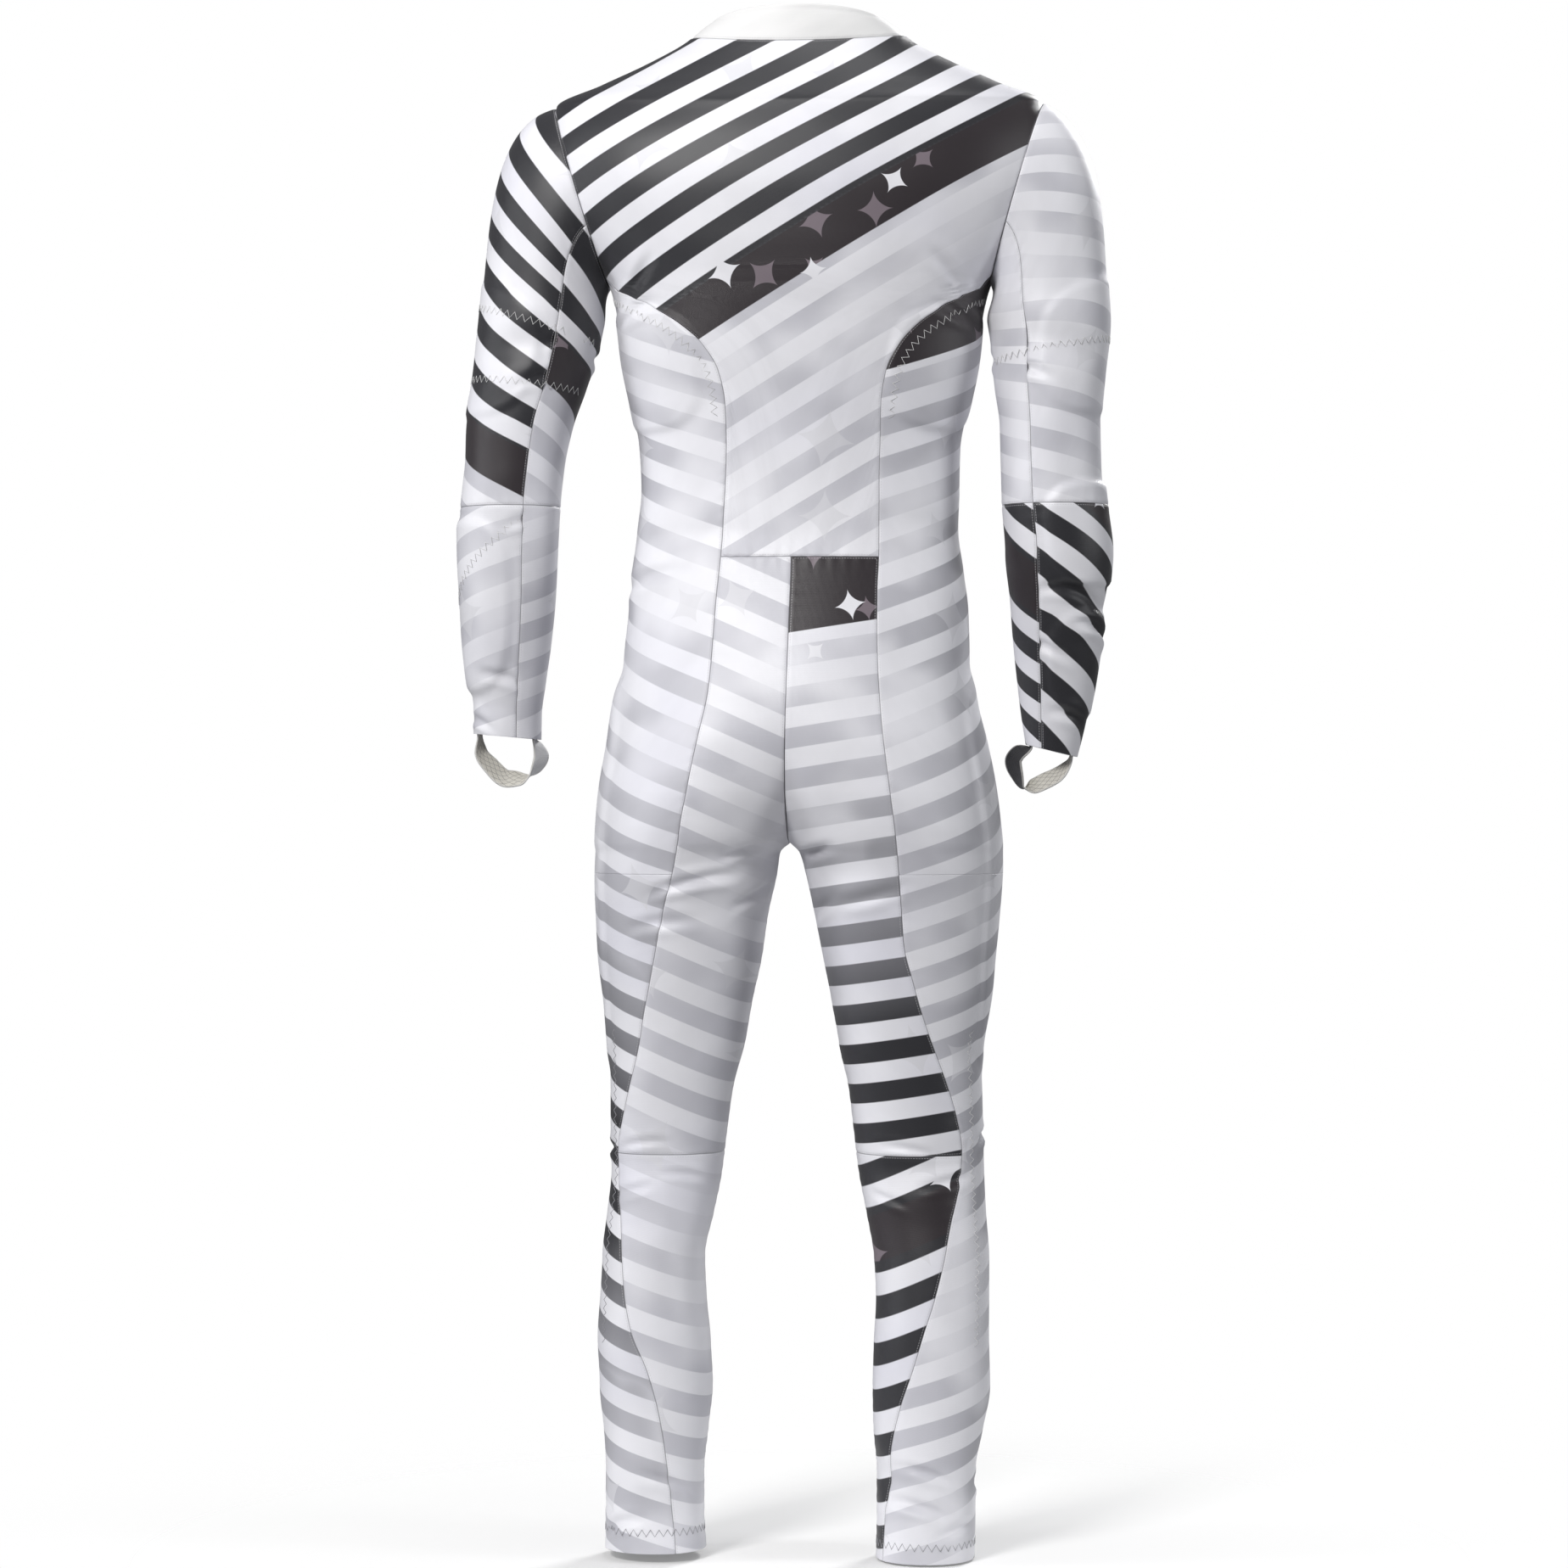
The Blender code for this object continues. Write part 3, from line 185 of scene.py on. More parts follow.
# Creases pressed into the cloth of each limb: mid angle in degrees, mid drop, half length round the
# limb in degrees, half width down it, slant in mm a degree, bend in mm a degree squared, depth.
creaseRows = {
    ("body", left): (
        (-30, 792, 42, 15, 0.1, 0, 5), (-20, 828, 40, 14, 0.25, 0, 3), (0, 1072, 70, 16, 0.05, 0, 3.5),
        (10, 1400, 60, 15, -0.25, 0, 3), (-48, 776, 26, 7, 0.35, 0.004, 2.2),
        (-12, 806, 34, 8, 0.3, 0.006, 2.4), (8, 846, 30, 9, 0.15, 0.004, 1.4),
        (-60, 820, 26, 9, 0.5, 0.003, 1.8), (190, 790, 34, 10, 0.25, 0.003, 3),
        (165, 760, 30, 9, 0.35, 0.004, 2), (215, 812, 26, 8, 0.45, 0.002, 2),
        (20, 1056, 34, 6, 0.12, 0.003, 1.4), (-25, 1086, 30, 6, -0.14, 0.004, 1.5),
        (30, 1102, 26, 7, 0.2, -0.003, 1.2), (80, 1064, 26, 7, 0.2, 0.004, 1.6),
        (170, 1030, 34, 10, 0.15, 0.004, 1.5), (-20, 1376, 42, 8, -0.3, 0.003, 1.6),
        (40, 1418, 40, 8, 0.25, 0.003, 1.8), (120, 1392, 44, 9, -0.25, 0.003, 2.2),
        (180, 1410, 40, 9, -0.2, 0.003, 2), (40, 480, 40, 12, 0.2, 0.003, 1.3),
        (64, 520, 34, 11, 0.3, 0.003, 1.5), (150, 500, 44, 13, 0.15, 0.002, 1.8),
        (60, 268, 20, 9, 0.6, 0.004, 1.8), (52, 240, 16, 9, 1.6, 0.01, 1.6),
        (124, 262, 22, 10, -0.6, 0.004, 2.2),
    ),
    ("body", right): (
        (-35, 800, 32, 15, -0.2, 0, 4), (0, 1078, 70, 16, -0.1, 0, 3.5), (-30, 1382, 60, 15, 0.35, 0, 4),
        (-50, 780, 24, 7, -0.3, -0.004, 2), (-18, 822, 26, 9, -0.35, -0.005, 1.6),
        (-62, 834, 24, 9, -0.5, -0.003, 1.6), (196, 786, 34, 10, -0.25, -0.003, 3),
        (160, 766, 26, 9, -0.3, -0.004, 2.2), (220, 818, 28, 8, -0.45, -0.002, 2),
        (-10, 1060, 30, 6, 0.16, 0.004, 1.5), (24, 1092, 30, 7, -0.18, 0.003, 1.6),
        (-34, 1108, 24, 6, 0.25, 0.003, 1.2), (84, 1052, 26, 7, -0.2, 0.004, 1.8),
        (186, 1024, 34, 10, -0.12, 0.004, 1.6), (5, 1366, 46, 7, 0.3, 0.004, 2),
        (-8, 1398, 48, 8, 0.22, 0.003, 2.4), (40, 1420, 38, 8, -0.2, 0.003, 1.5),
        (120, 1386, 44, 9, 0.25, 0.003, 2.2), (190, 1404, 40, 9, 0.2, 0.003, 2),
        (52, 470, 34, 12, 0.22, 0.003, 1.3), (70, 512, 34, 12, 0.3, 0.002, 1.3),
        (146, 512, 44, 13, 0.15, 0.002, 1.8), (60, 272, 20, 9, 0.6, 0.004, 1.8),
        (50, 236, 16, 9, 1.6, 0.01, 1.6), (122, 266, 22, 10, -0.6, 0.004, 2.2),
    ),
    ("arm", left): (
        (-80, 300, 55, 15, 0.35, 0, 4), (-60, 640, 70, 12, -0.15, 0, 3), (-140, 276, 44, 8, 0.4, 0.003, 2.2),
        (-120, 322, 40, 9, 0.3, 0.003, 1.6), (150, 300, 50, 10, -0.2, 0.003, 2),
        (80, 440, 52, 9, 0.1, 0.003, 2.2), (96, 470, 44, 8, -0.12, 0.003, 1.8),
        (-90, 612, 40, 8, -0.2, 0.003, 1.6), (-40, 655, 44, 7, -0.16, 0.003, 1.4),
        (-120, 462, 36, 8, 0.2, 0.003, 1.4), (70, 630, 46, 9, -0.1, 0.003, 1.6),
    ),
    ("arm", right): (
        (-80, 300, 55, 15, 0.35, 0, 4), (-40, 545, 70, 12, 0.15, 0, 4), (-150, 280, 44, 8, 0.3, 0.003, 2.4),
        (-118, 318, 38, 8, 0.35, 0.003, 1.8), (150, 304, 50, 10, -0.2, 0.003, 2),
        (80, 446, 52, 9, 0.1, 0.003, 2.2), (92, 476, 44, 8, -0.14, 0.003, 1.8),
        (-70, 532, 50, 8, 0.2, 0.004, 2.4), (-30, 566, 48, 8, 0.24, 0.003, 2.8),
        (-100, 586, 38, 8, 0.3, 0.003, 1.8), (-60, 648, 50, 8, 0.14, 0.003, 1.8),
        (60, 640, 46, 9, 0.1, 0.003, 1.8),
    ),
}

# A crease is broad from this half width on. Each kind: how narrow and deep it is drawn, and the height
# and place of the ridge below it and above it, in shares of its depth and half width.
creaseShape = {"broadFrom": 12, "broad": (1, 0.75, 0.32, 1.9, 0.22, 1.8), "fine": (0.62, 1.9, 0.55, 1.7, 0.35, 1.7)}


def smoothTable(knots, values, at):
    # A cubic through the table that never overshoots: each knot's slope is its neighbours' harmonic mean.
    at = np.clip(np.asarray(at, float), knots[0], knots[-1])
    steps = np.diff(knots)
    slopes = np.diff(values) / steps
    total = np.where(slopes[:-1] + slopes[1:] == 0, 1, slopes[:-1] + slopes[1:])
    inner = np.where(slopes[:-1] * slopes[1:] > 0, 2 * slopes[:-1] * slopes[1:] / total, 0.0)
    tangents = np.concatenate([[slopes[0]], inner, [slopes[-1]]])
    i = np.clip(np.searchsorted(knots, at, side="right") - 1, 0, len(steps) - 1)
    t = (at - knots[i]) / steps[i]
    return ((2 * t**3 - 3 * t**2 + 1) * values[i] + (t**3 - 2 * t**2 + t) * steps[i] * tangents[i]
            + (3 * t**2 - 2 * t**3) * values[i + 1] + (t**3 - t**2) * steps[i] * tangents[i + 1])


def smoothStep(t):
    t = np.clip(t, 0.0, 1.0)
    return t * t * (3 - 2 * t)


def signedPower(value, power):
    return np.sign(value) * np.abs(value) ** power


def bodyTable(side):
    half = trunkRows[:, 2] if side == left else trunkRows[:, 3]
    trunk = np.stack([trunkRows[:, 0], side * trunkRows[:, 1] + trunkRows[:, 4] * half,
                      (1 - trunkRows[:, 4]) * half, *trunkRows[:, 5:].T])
    a, b = (1, 2) if side == left else (3, 4)
    leg = np.stack([legRows[:, 0], legRows[:, a], legRows[:, b], *legRows[:, 5:].T,
                    np.full(len(legRows), 2.15)])
    return np.concatenate([trunk, leg], axis=1)


bodyRows = {side: bodyTable(side) for side in (left, right)}


armholeMiddle = (cut["armholeTop"] + cut["armholeBottom"]) / 2
armholeHalf = (cut["armholeBottom"] - cut["armholeTop"]) / 2
armholeFoot = armholeMiddle + armholeHalf * math.cos(math.pi / 8)  # the side panel's corner on the armhole


def armholeX(drop):
    # The armhole's seam leans on a straight line from its top to its bottom.
    share = (drop - cut["armholeTop"]) / (cut["armholeBottom"] - cut["armholeTop"])
    return cut["armholeTopX"] + share * (cut["armholeBottomX"] - cut["armholeTopX"])


def armholeHalfDepth(drop):
    # Half size of the armhole front to back: an ellipse between its top and bottom.
    return cut["armholeDepth"] * np.sqrt(np.clip(1 - ((drop - armholeMiddle) / armholeHalf) ** 2, 0, 1))


def section(side, drop):
    # Centre, half widths to back and front, y, depths and squareness of the body at a drop.
    rows = bodyRows[side]
    centre, half, y, back, front, square = (smoothTable(rows[0], row, drop) for row in rows[1:])
    inside = (drop > cut["armholeTop"]) & (drop < cut["armholeBottom"])
    halves = []
    for depth in (back, front):
        share = np.where(inside, armholeHalfDepth(drop) / depth, 0.0)
        wide = armholeX(drop) / (1 - share**square) ** (1 / square)
        halves.append(np.where(inside, wide, half))
    return centre, halves[0], halves[1], y, back, front, square


def bodyPoint(side, angle, drop):
    # A superellipse at each drop: x from the sine and y from the cosine of the angle, each raised
    # to 2 / squareness, with the neck seam dipping at the back and the front.
    centre, wideBack, wideFront, y, back, front, square = section(side, drop)
    sine = signedPower(np.sin(angle), 2 / square)
    cosine = signedPower(np.cos(angle), 2 / square)
    x = side * (centre + np.where(np.cos(angle) > 0, wideBack, wideFront) * sine)
    y = y - np.where(np.cos(angle) > 0, back, front) * cosine
    dip = (1 - smoothStep(drop / cut["neckDipEnds"])) * (
        cut["neckDipBack"] * np.clip(np.cos(angle), 0, 1) ** 1.5
        + cut["neckDipFront"] * np.clip(-np.cos(angle), 0, 1) ** 1.2)
    return np.stack([x, y, -(drop + dip)], axis=-1)


def armRing(side, angle, drop):
    # A tilted ellipse at each drop of the arm: angle 0 outwards, positive to the front.
    rows = armRows[side].T
    x, half, y, depth, tilt = (smoothTable(rows[0], row, drop) for row in rows[1:])
    return np.stack([side * (x + half * np.cos(angle)), y + depth * np.sin(angle),
                     -(drop - tilt * np.cos(angle))], axis=-1)


def armPoint(side, angle, drop):
    # Below the arm's top, its rings. Above it, the sleeve's cap: a cubic from the armhole seam to the
    # first ring, which leaves the seam sideways and meets the ring along the arm.
    angle, drop = np.broadcast_arrays(np.asarray(angle, float), np.asarray(drop, float))
    top = cut["armTop"]
    seamDrop = armholeMiddle - armholeHalf * np.cos(angle)
    ringY = section(side, seamDrop)[3] + np.where(np.sin(angle) >= 0, 1, -1) * armholeHalfDepth(seamDrop)
    start = np.stack([side * armholeX(seamDrop), ringY, -seamDrop], axis=-1)
    end = armRing(side, angle, np.full(angle.shape, float(top)))
    way = armRing(side, angle, np.full(angle.shape, top + 1.0)) - end
    way = way / np.linalg.norm(way, axis=-1, keepdims=True)
    span = np.linalg.norm(end - start, axis=-1, keepdims=True)
    high = np.clip((cut["armholeBottom"] + start[..., 2:3]) / (2 * armholeHalf), 0, 1)
    out = cut["capOut"][side]
    leave = np.array([side * 1.0, 0, 0]) * out + np.array([0, 0, -1.0]) * (1 - out * high)
    leave = leave / np.linalg.norm(leave, axis=-1, keepdims=True)
    t = ((drop - cut["capTop"]) / (top - cut["capTop"]))[..., None]
    cap = ((2 * t**3 - 3 * t**2 + 1) * start + (t**3 - 2 * t**2 + t) * span * leave
           + (3 * t**2 - 2 * t**3) * end + (t**3 - t**2) * span * way)
    return np.where(t < 1, cap, armRing(side, angle, drop))


points = {"body": bodyPoint, "arm": armPoint}


def normalOf(limb, side, angle, drop):
    # Small steps along the angle and the drop, and their cross product, turned outwards.
    point = points[limb]
    across = point(side, angle + 1e-3, drop) - point(side, angle - 1e-3, drop)
    down = point(side, angle, drop + 0.3) - point(side, angle, drop - 0.3)
    n = np.cross(down, across) * side
    return n / np.maximum(np.linalg.norm(n, axis=-1, keepdims=True), 1e-9)


def relief(limb, side, angle, drop):
    # Pads lift the cloth with soft edges and rounded corners: a superellipse of power 3 round their middle.
    # Each crease is a bell-shaped trough with a low ridge on either side, and fades out at both ends.
    degrees = np.degrees(angle)
    total = np.zeros(np.broadcast(angle, drop).shape)
    for mid, midDrop, halfAngle, halfDrop, height in padRows[limb, side]:
        reach = (np.abs((degrees - mid) / halfAngle) ** 3 + np.abs((drop - midDrop) / halfDrop) ** 3) ** (1 / 3)
        total += height * smoothStep((1 - reach) / padEdge)
    for mid, midDrop, halfAngle, half, slant, bend, depth in creaseRows[limb, side]:
        off = degrees - mid
        fade = np.clip(1 - (off / halfAngle) ** 2, 0, 1) ** 1.5
        kind = "broad" if half >= creaseShape["broadFrom"] else "fine"
        narrow, deep, below, belowAt, above, aboveAt = creaseShape[kind]
        t = (drop - midDrop - slant * off - bend * off**2) / (narrow * half)
        ridges = below * np.exp(-((t - belowAt) ** 2)), above * np.exp(-((t + aboveAt) ** 2))
        total -= deep * depth * fade * (np.exp(-t**2) - ridges[0] - ridges[1])
    return total


def angleAtX(side, drop, x, front=False):
    # Angle at which the section at a drop has this distance from the middle, on its back or front.
    centre, wideBack, wideFront, _, _, _, square = section(side, drop)
    share = np.clip((x - centre) / (wideFront if front else wideBack), -1, 1)
    angle = np.arcsin(signedPower(share, square / 2))
    return math.pi - angle if front else angle


def middleX(drop):
    return np.interp(drop, trunkRows[:, 0], trunkRows[:, 1])


def innerAngle(side, drop, front=False):
    # The middle seam above the crotch, and the inside leg seam below it.
    angle = angleAtX(side, drop, side * middleX(drop), front)
    return np.where(drop < cut["crotch"], angle, math.pi * 1.5 if front else -outerLine)


def seamAngle(side, drop, front=False):
    column = 3 if front else (1 if side == left else 2)
    return angleAtX(side, drop, smoothTable(seamRows[:, 0], seamRows[:, column], drop), front)


def armholeAngle(side, drop, front=False):
    _, _, _, _, back, frontDepth, square = section(side, drop)
    depth = frontDepth if front else back
    angle = np.arccos(np.clip(armholeHalfDepth(drop) / depth, 0, 1) ** (square / 2))
    return math.pi - angle if front else angle


def bodiceEdge(side, drop, front):
    # Shoulder seam, armhole, a short slant to the side seam, then the side seam.
    low = seamRows[0, 0]
    slant = (drop - armholeFoot) / (low - armholeFoot)
    foot = armholeAngle(side, np.array(armholeFoot), front)
    seam = seamAngle(side, np.maximum(drop, low), front)
    between = foot + slant * (seamAngle(side, np.array(low), front) - foot)
    hole = armholeAngle(side, np.clip(drop, float(cut["armholeTop"]), armholeFoot), front)
    angle = np.where(drop < armholeFoot, hole, between)
    angle = np.where(drop <= cut["armholeTop"], outerLine, angle)
    return np.where(drop >= low, seam, angle)


def zipX(side, drop):
    return cut["zipHalfWidth"] + side * middleX(drop)


edgeSteps = (0.0, 0.7, 1.6, 3.2, 5.5)  # columns and rows crowd towards a seam, for its groove


def rowDrops(top, bottom, step=3.0, shoulder=False):
    ends = np.array(edgeSteps)
    start = ends * 0.5 if shoulder else ends
    inner = [top + start, bottom - ends]
    at = top + start[-1]
    if shoulder:
        inner.append(np.arange(at + 1.3, cut["armholeTop"] + 6, 1.7))
        at = cut["armholeTop"] + 6
    count = max(2, int(round((bottom - ends[-1] - at) / step)))
    inner.append(np.linspace(at, bottom - ends[-1], count + 1)[1:-1])
    return np.unique(np.round(np.concatenate(inner), 3))


def columnShares(width, count):
    # Share of the width at each column of each row: fixed steps by the seams, even ones between.
    ends = np.array(edgeSteps)[None, :] * np.minimum(1, width / 24)[:, None] / width[:, None]
    even = np.linspace(0, 1, count + 1)[None, 1:-1]
    between = ends[:, -1:] + even * (1 - 2 * ends[:, -1:])
    return np.concatenate([ends, between, 1 - ends[:, ::-1]], axis=1)


def spread(limb, side, first, last, drops, step=4.6):
    # Angles and drops of a piece whose rows run level from its first edge to its last.
    share = np.linspace(0, 1, 33)[None, :]
    angle = first[:, None] * (1 - share) + last[:, None] * share
    rough = points[limb](side, angle, np.repeat(drops[:, None], 33, axis=1))
    width = np.linalg.norm(np.diff(rough, axis=1), axis=-1).sum(axis=1)
    share = columnShares(width, max(4, int(width.max() / step)))
    angle = first[:, None] * (1 - share) + last[:, None] * share
    return angle, np.repeat(drops[:, None], share.shape[1], axis=1)


def skin(limb, side, angle, drop):
    n = normalOf(limb, side, angle, drop)
    return points[limb](side, angle, drop) + n * relief(limb, side, angle, drop)[..., None], n


def lengths(grid):
    # Distance across each row and down each column, from the grid's first corner.
    steps = [np.linalg.norm(np.diff(grid, axis=axis), axis=-1) for axis in (1, 0)]
    across = np.pad(np.cumsum(steps[0], axis=1), ((0, 0), (1, 0)))
    return across, np.pad(np.cumsum(steps[1], axis=0), ((1, 0), (0, 0)))


seamShape = {"groove": 0.45, "grooveWidth": 1.3, "swell": 0.16, "swellAt": 3.4, "swellWidth": 1.6,
             "pucker": 0.26, "puckerLength": 13, "puckerReach": 8}


def seamLook(outer, n, hems=()):
    # A groove of half a millimetre at each sewn edge, and how far each point is from the nearest one.
    across, down = lengths(outer)
    edges = {"first": across, "last": across[:, -1:] - across, "top": down, "bottom": down[-1:] - down}
    away = np.full(across.shape, 99.0)
    run = np.zeros(across.shape)
    for name, distance in edges.items():
        if name in hems:
            continue
        nearer = distance < away
        away = np.where(nearer, distance, away)
        run = np.where(nearer, down if name in ("first", "last") else across, run)
    # The cloth puckers in uneven little waves beside the stitches.
    groove = seamShape["groove"] * np.exp(-((away / seamShape["grooveWidth"]) ** 2))
    swell = seamShape["swell"] * np.exp(-(((away - seamShape["swellAt"]) / seamShape["swellWidth"]) ** 2))
    wave = np.sin(2 * math.pi * (run / seamShape["puckerLength"] + 0.35 * np.sin(run / 41)))
    wave = wave * np.sin(run / 90 + 1.3)
    pucker = seamShape["pucker"] * wave * np.exp(-away / seamShape["puckerReach"]) * (away > 0.6)
    return outer + n * (swell - groove + pucker)[..., None], away, run


def gridFaces(rows, columns):
    # Quads of the outer face, the inner face and the rim between them.
    index = np.arange(rows * columns).reshape(rows, columns)
    a, b, c, d = index[:-1, :-1], index[:-1, 1:], index[1:, 1:], index[1:, :-1]
    outer = np.stack([a, d, c, b], axis=-1).reshape(-1, 4)
    inner = outer[:, ::-1] + rows * columns
    loop = np.concatenate([index[0, :-1], index[:-1, -1], index[-1, :0:-1], index[:0:-1, 0]])
    after = np.roll(loop, -1)
    rim = np.stack([loop, after, after + rows * columns, loop + rows * columns], axis=-1)
    return outer, inner, rim


def intoScene(name, data):
    made = bpy.data.objects.new(name, data)
    bpy.context.scene.collection.objects.link(made)
    return made


def outwards(coords, faces):
    # Turns the faces of a closed shape round if the volume summed from them is negative.
    p = coords[faces]
    volume = np.einsum("ij,ij->i", p[:, 0], np.cross(p[:, 1], p[:, 2]) + np.cross(p[:, 2], p[:, 3])).sum()
    return faces[:, ::-1] if volume < 0 else faces


def shell(name, outer, inner, uv, attributes, materials):
    # A closed wall between two grids. Slot 0 is the outside, slot 1 the inside, slot 2 the rim.
    rows, columns = outer.shape[:2]
    coords = np.concatenate([outer.reshape(-1, 3), inner.reshape(-1, 3)]) * mm
    parts = gridFaces(rows, columns)
    faces = outwards(coords, np.concatenate(parts))
    mesh = bpy.data.meshes.new(name)
    mesh.vertices.add(len(coords))
    mesh.vertices.foreach_set("co", coords.ravel())
    mesh.loops.add(faces.size)
    mesh.loops.foreach_set("vertex_index", faces.ravel())
    mesh.polygons.add(len(faces))
    mesh.polygons.foreach_set("loop_start", np.arange(0, faces.size, 4))
    mesh.polygons.foreach_set("material_index", np.repeat(np.arange(3), [len(part) for part in parts]))
    mesh.polygons.foreach_set("use_smooth", np.ones(len(faces), bool))
    mesh.update(calc_edges=True)
    layer = mesh.uv_layers.new(name="cloth")
    both = np.concatenate([uv.reshape(-1, 2)] * 2)
    layer.data.foreach_set("uv", both[faces.ravel()].ravel())
    for key, values in attributes.items():
        made = mesh.attributes.new(key, "FLOAT", "POINT")
        made.data.foreach_set("value", np.concatenate([np.ravel(values)] * 2).astype(float))
    for material in materials:
        mesh.materials.append(material)
    return intoScene(name, mesh)


def declareCloth(piece, node):
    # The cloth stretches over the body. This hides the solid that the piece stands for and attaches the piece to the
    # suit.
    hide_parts(node)
    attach(piece, "suit")
    return piece


# Shader helpers.
def put(tree, kind, feeds=None, **settings):
    made = tree.nodes.new(kind)
    made.location = ((len(tree.nodes) % 9) * 190 - 900, 500 - (len(tree.nodes) // 9) * 230)
    for key, value in settings.items():
        setattr(made, key, value)
    for key, value in (feeds or {}).items():
        if isinstance(value, bpy.types.NodeSocket):
            tree.links.new(value, made.inputs[key])
        else:
            made.inputs[key].default_value = value
    return made


def calc(tree, operation, a, b=0.0, c=0.0):
    return put(tree, "ShaderNodeMath", {0: a, 1: b, 2: c}, operation=operation).outputs[0]


def vector(tree, operation, a, b=(0.0, 0.0, 0.0)):
    return put(tree, "ShaderNodeVectorMath", {0: a, 1: b}, operation=operation).outputs[0]


def ramp(tree, value, low, high, start=0.0, end=1.0):
    feeds = {"Value": value, "From Min": low, "From Max": high, "To Min": start, "To Max": end}
    return put(tree, "ShaderNodeMapRange", feeds, interpolation_type="SMOOTHSTEP").outputs[0]


def mix(tree, share, a, b):
    return put(tree, "ShaderNodeMix", {0: share, 6: a, 7: b}, data_type="RGBA").outputs[2]


def noise(tree, place, scale, detail):
    return put(tree, "ShaderNodeTexNoise", {"Vector": place, "Scale": scale, "Detail": detail}).outputs[0]


def bump(tree, shader, height, strength, distance):
    made = put(tree, "ShaderNodeBump", {"Height": height, "Strength": strength, "Distance": distance})
    tree.links.new(made.outputs[0], shader.inputs["Normal"])


def toned(tree, colour, weave):
    # A colour, fixed or from a socket, varied by a knit's tone.
    if not isinstance(colour, bpy.types.NodeSocket):
        colour = colour[:3]
    feeds = {0: colour, "Scale": weave.outputs["Tone"]}
    return put(tree, "ShaderNodeVectorMath", feeds, operation="SCALE").outputs[0]


def uvPlace(tree):
    return put(tree, "ShaderNodeUVMap", uv_map="cloth").outputs[0]


def objectPlace(tree):
    return put(tree, "ShaderNodeTexCoord").outputs["Object"]


def newGroup(name, inputs, outputs):
    tree = bpy.data.node_groups.new(name, "ShaderNodeTree")
    for label, kind, value in inputs:
        socket = tree.interface.new_socket(name=label, in_out="INPUT", socket_type=kind)
        if value is not None:
            socket.default_value = value
    for label, kind in outputs:
        tree.interface.new_socket(name=label, in_out="OUTPUT", socket_type=kind)
    return tree, tree.nodes.new("NodeGroupInput").outputs, tree.nodes.new("NodeGroupOutput").inputs


def useGroup(tree, group, feeds):
    return put(tree, "ShaderNodeGroup", feeds, node_tree=group)


number, vectorKind = "NodeSocketFloat", "NodeSocketVector"


def knitGroup():
    # Fine ribs of a warp knit: a sine across the wales times one along the courses, with a little unevenness
    # from noise. Height feeds bump; Tone varies the colour, and is a little darker in the rib troughs: painted shade.
    tree, given, result = newGroup(
        "knitSurface", [("Place", vectorKind, None), ("Wale", number, 0.0009), ("Course", number, 0.0013)],
        [("Height", number), ("Tone", number)])
    split = put(tree, "ShaderNodeSeparateXYZ", {0: given["Place"]})
    wales, courses = (
        calc(tree, "SINE", calc(tree, "MULTIPLY", calc(tree, "DIVIDE", split.outputs[k], given[label]), 6.2832))
        for k, label in ((0, "Wale"), (1, "Course")))
    fine = noise(tree, given["Place"], 900.0, 2.0)
    broad = noise(tree, given["Place"], 14.0, 3.0)
    both = calc(tree, "MULTIPLY_ADD", wales, 0.5, calc(tree, "MULTIPLY", courses, 0.3))
    tree.links.new(calc(tree, "ADD", both, fine), result["Height"])
    # Painted shade: the tone follows the ribs' height, darker in their troughs.
    tone = calc(tree, "ADD", ramp(tree, broad, 0.3, 0.7, -0.035, 0.035), calc(tree, "MULTIPLY", both, 0.02))
    tree.links.new(calc(tree, "ADD", tone, 1.0), result["Tone"])
    return tree


def starGroup():
    # A plain star of four points: |x| and |y| from its middle, over its size and raised to 0.62, add to
    # less than one.
    tree, given, result = newGroup(
        "plainStar", [("Place", vectorKind, None), ("Middle", vectorKind, None), ("Size", number, 0.03),
                      ("Turn", number, 0.0)], [("Mask", number)])
    away = vector(tree, "SUBTRACT", given["Place"], given["Middle"])
    turned = put(tree, "ShaderNodeVectorRotate", {"Vector": away, "Angle": given["Turn"]}, rotation_type="Z_AXIS")
    split = put(tree, "ShaderNodeSeparateXYZ", {0: turned.outputs[0]})
    sides = []
    for k in (0, 1):
        share = calc(tree, "DIVIDE", calc(tree, "ABSOLUTE", split.outputs[k]), given["Size"])
        sides.append(calc(tree, "POWER", share, 0.62))
    tree.links.new(ramp(tree, calc(tree, "ADD", *sides), 1.03, 0.97), result["Mask"])
    return tree


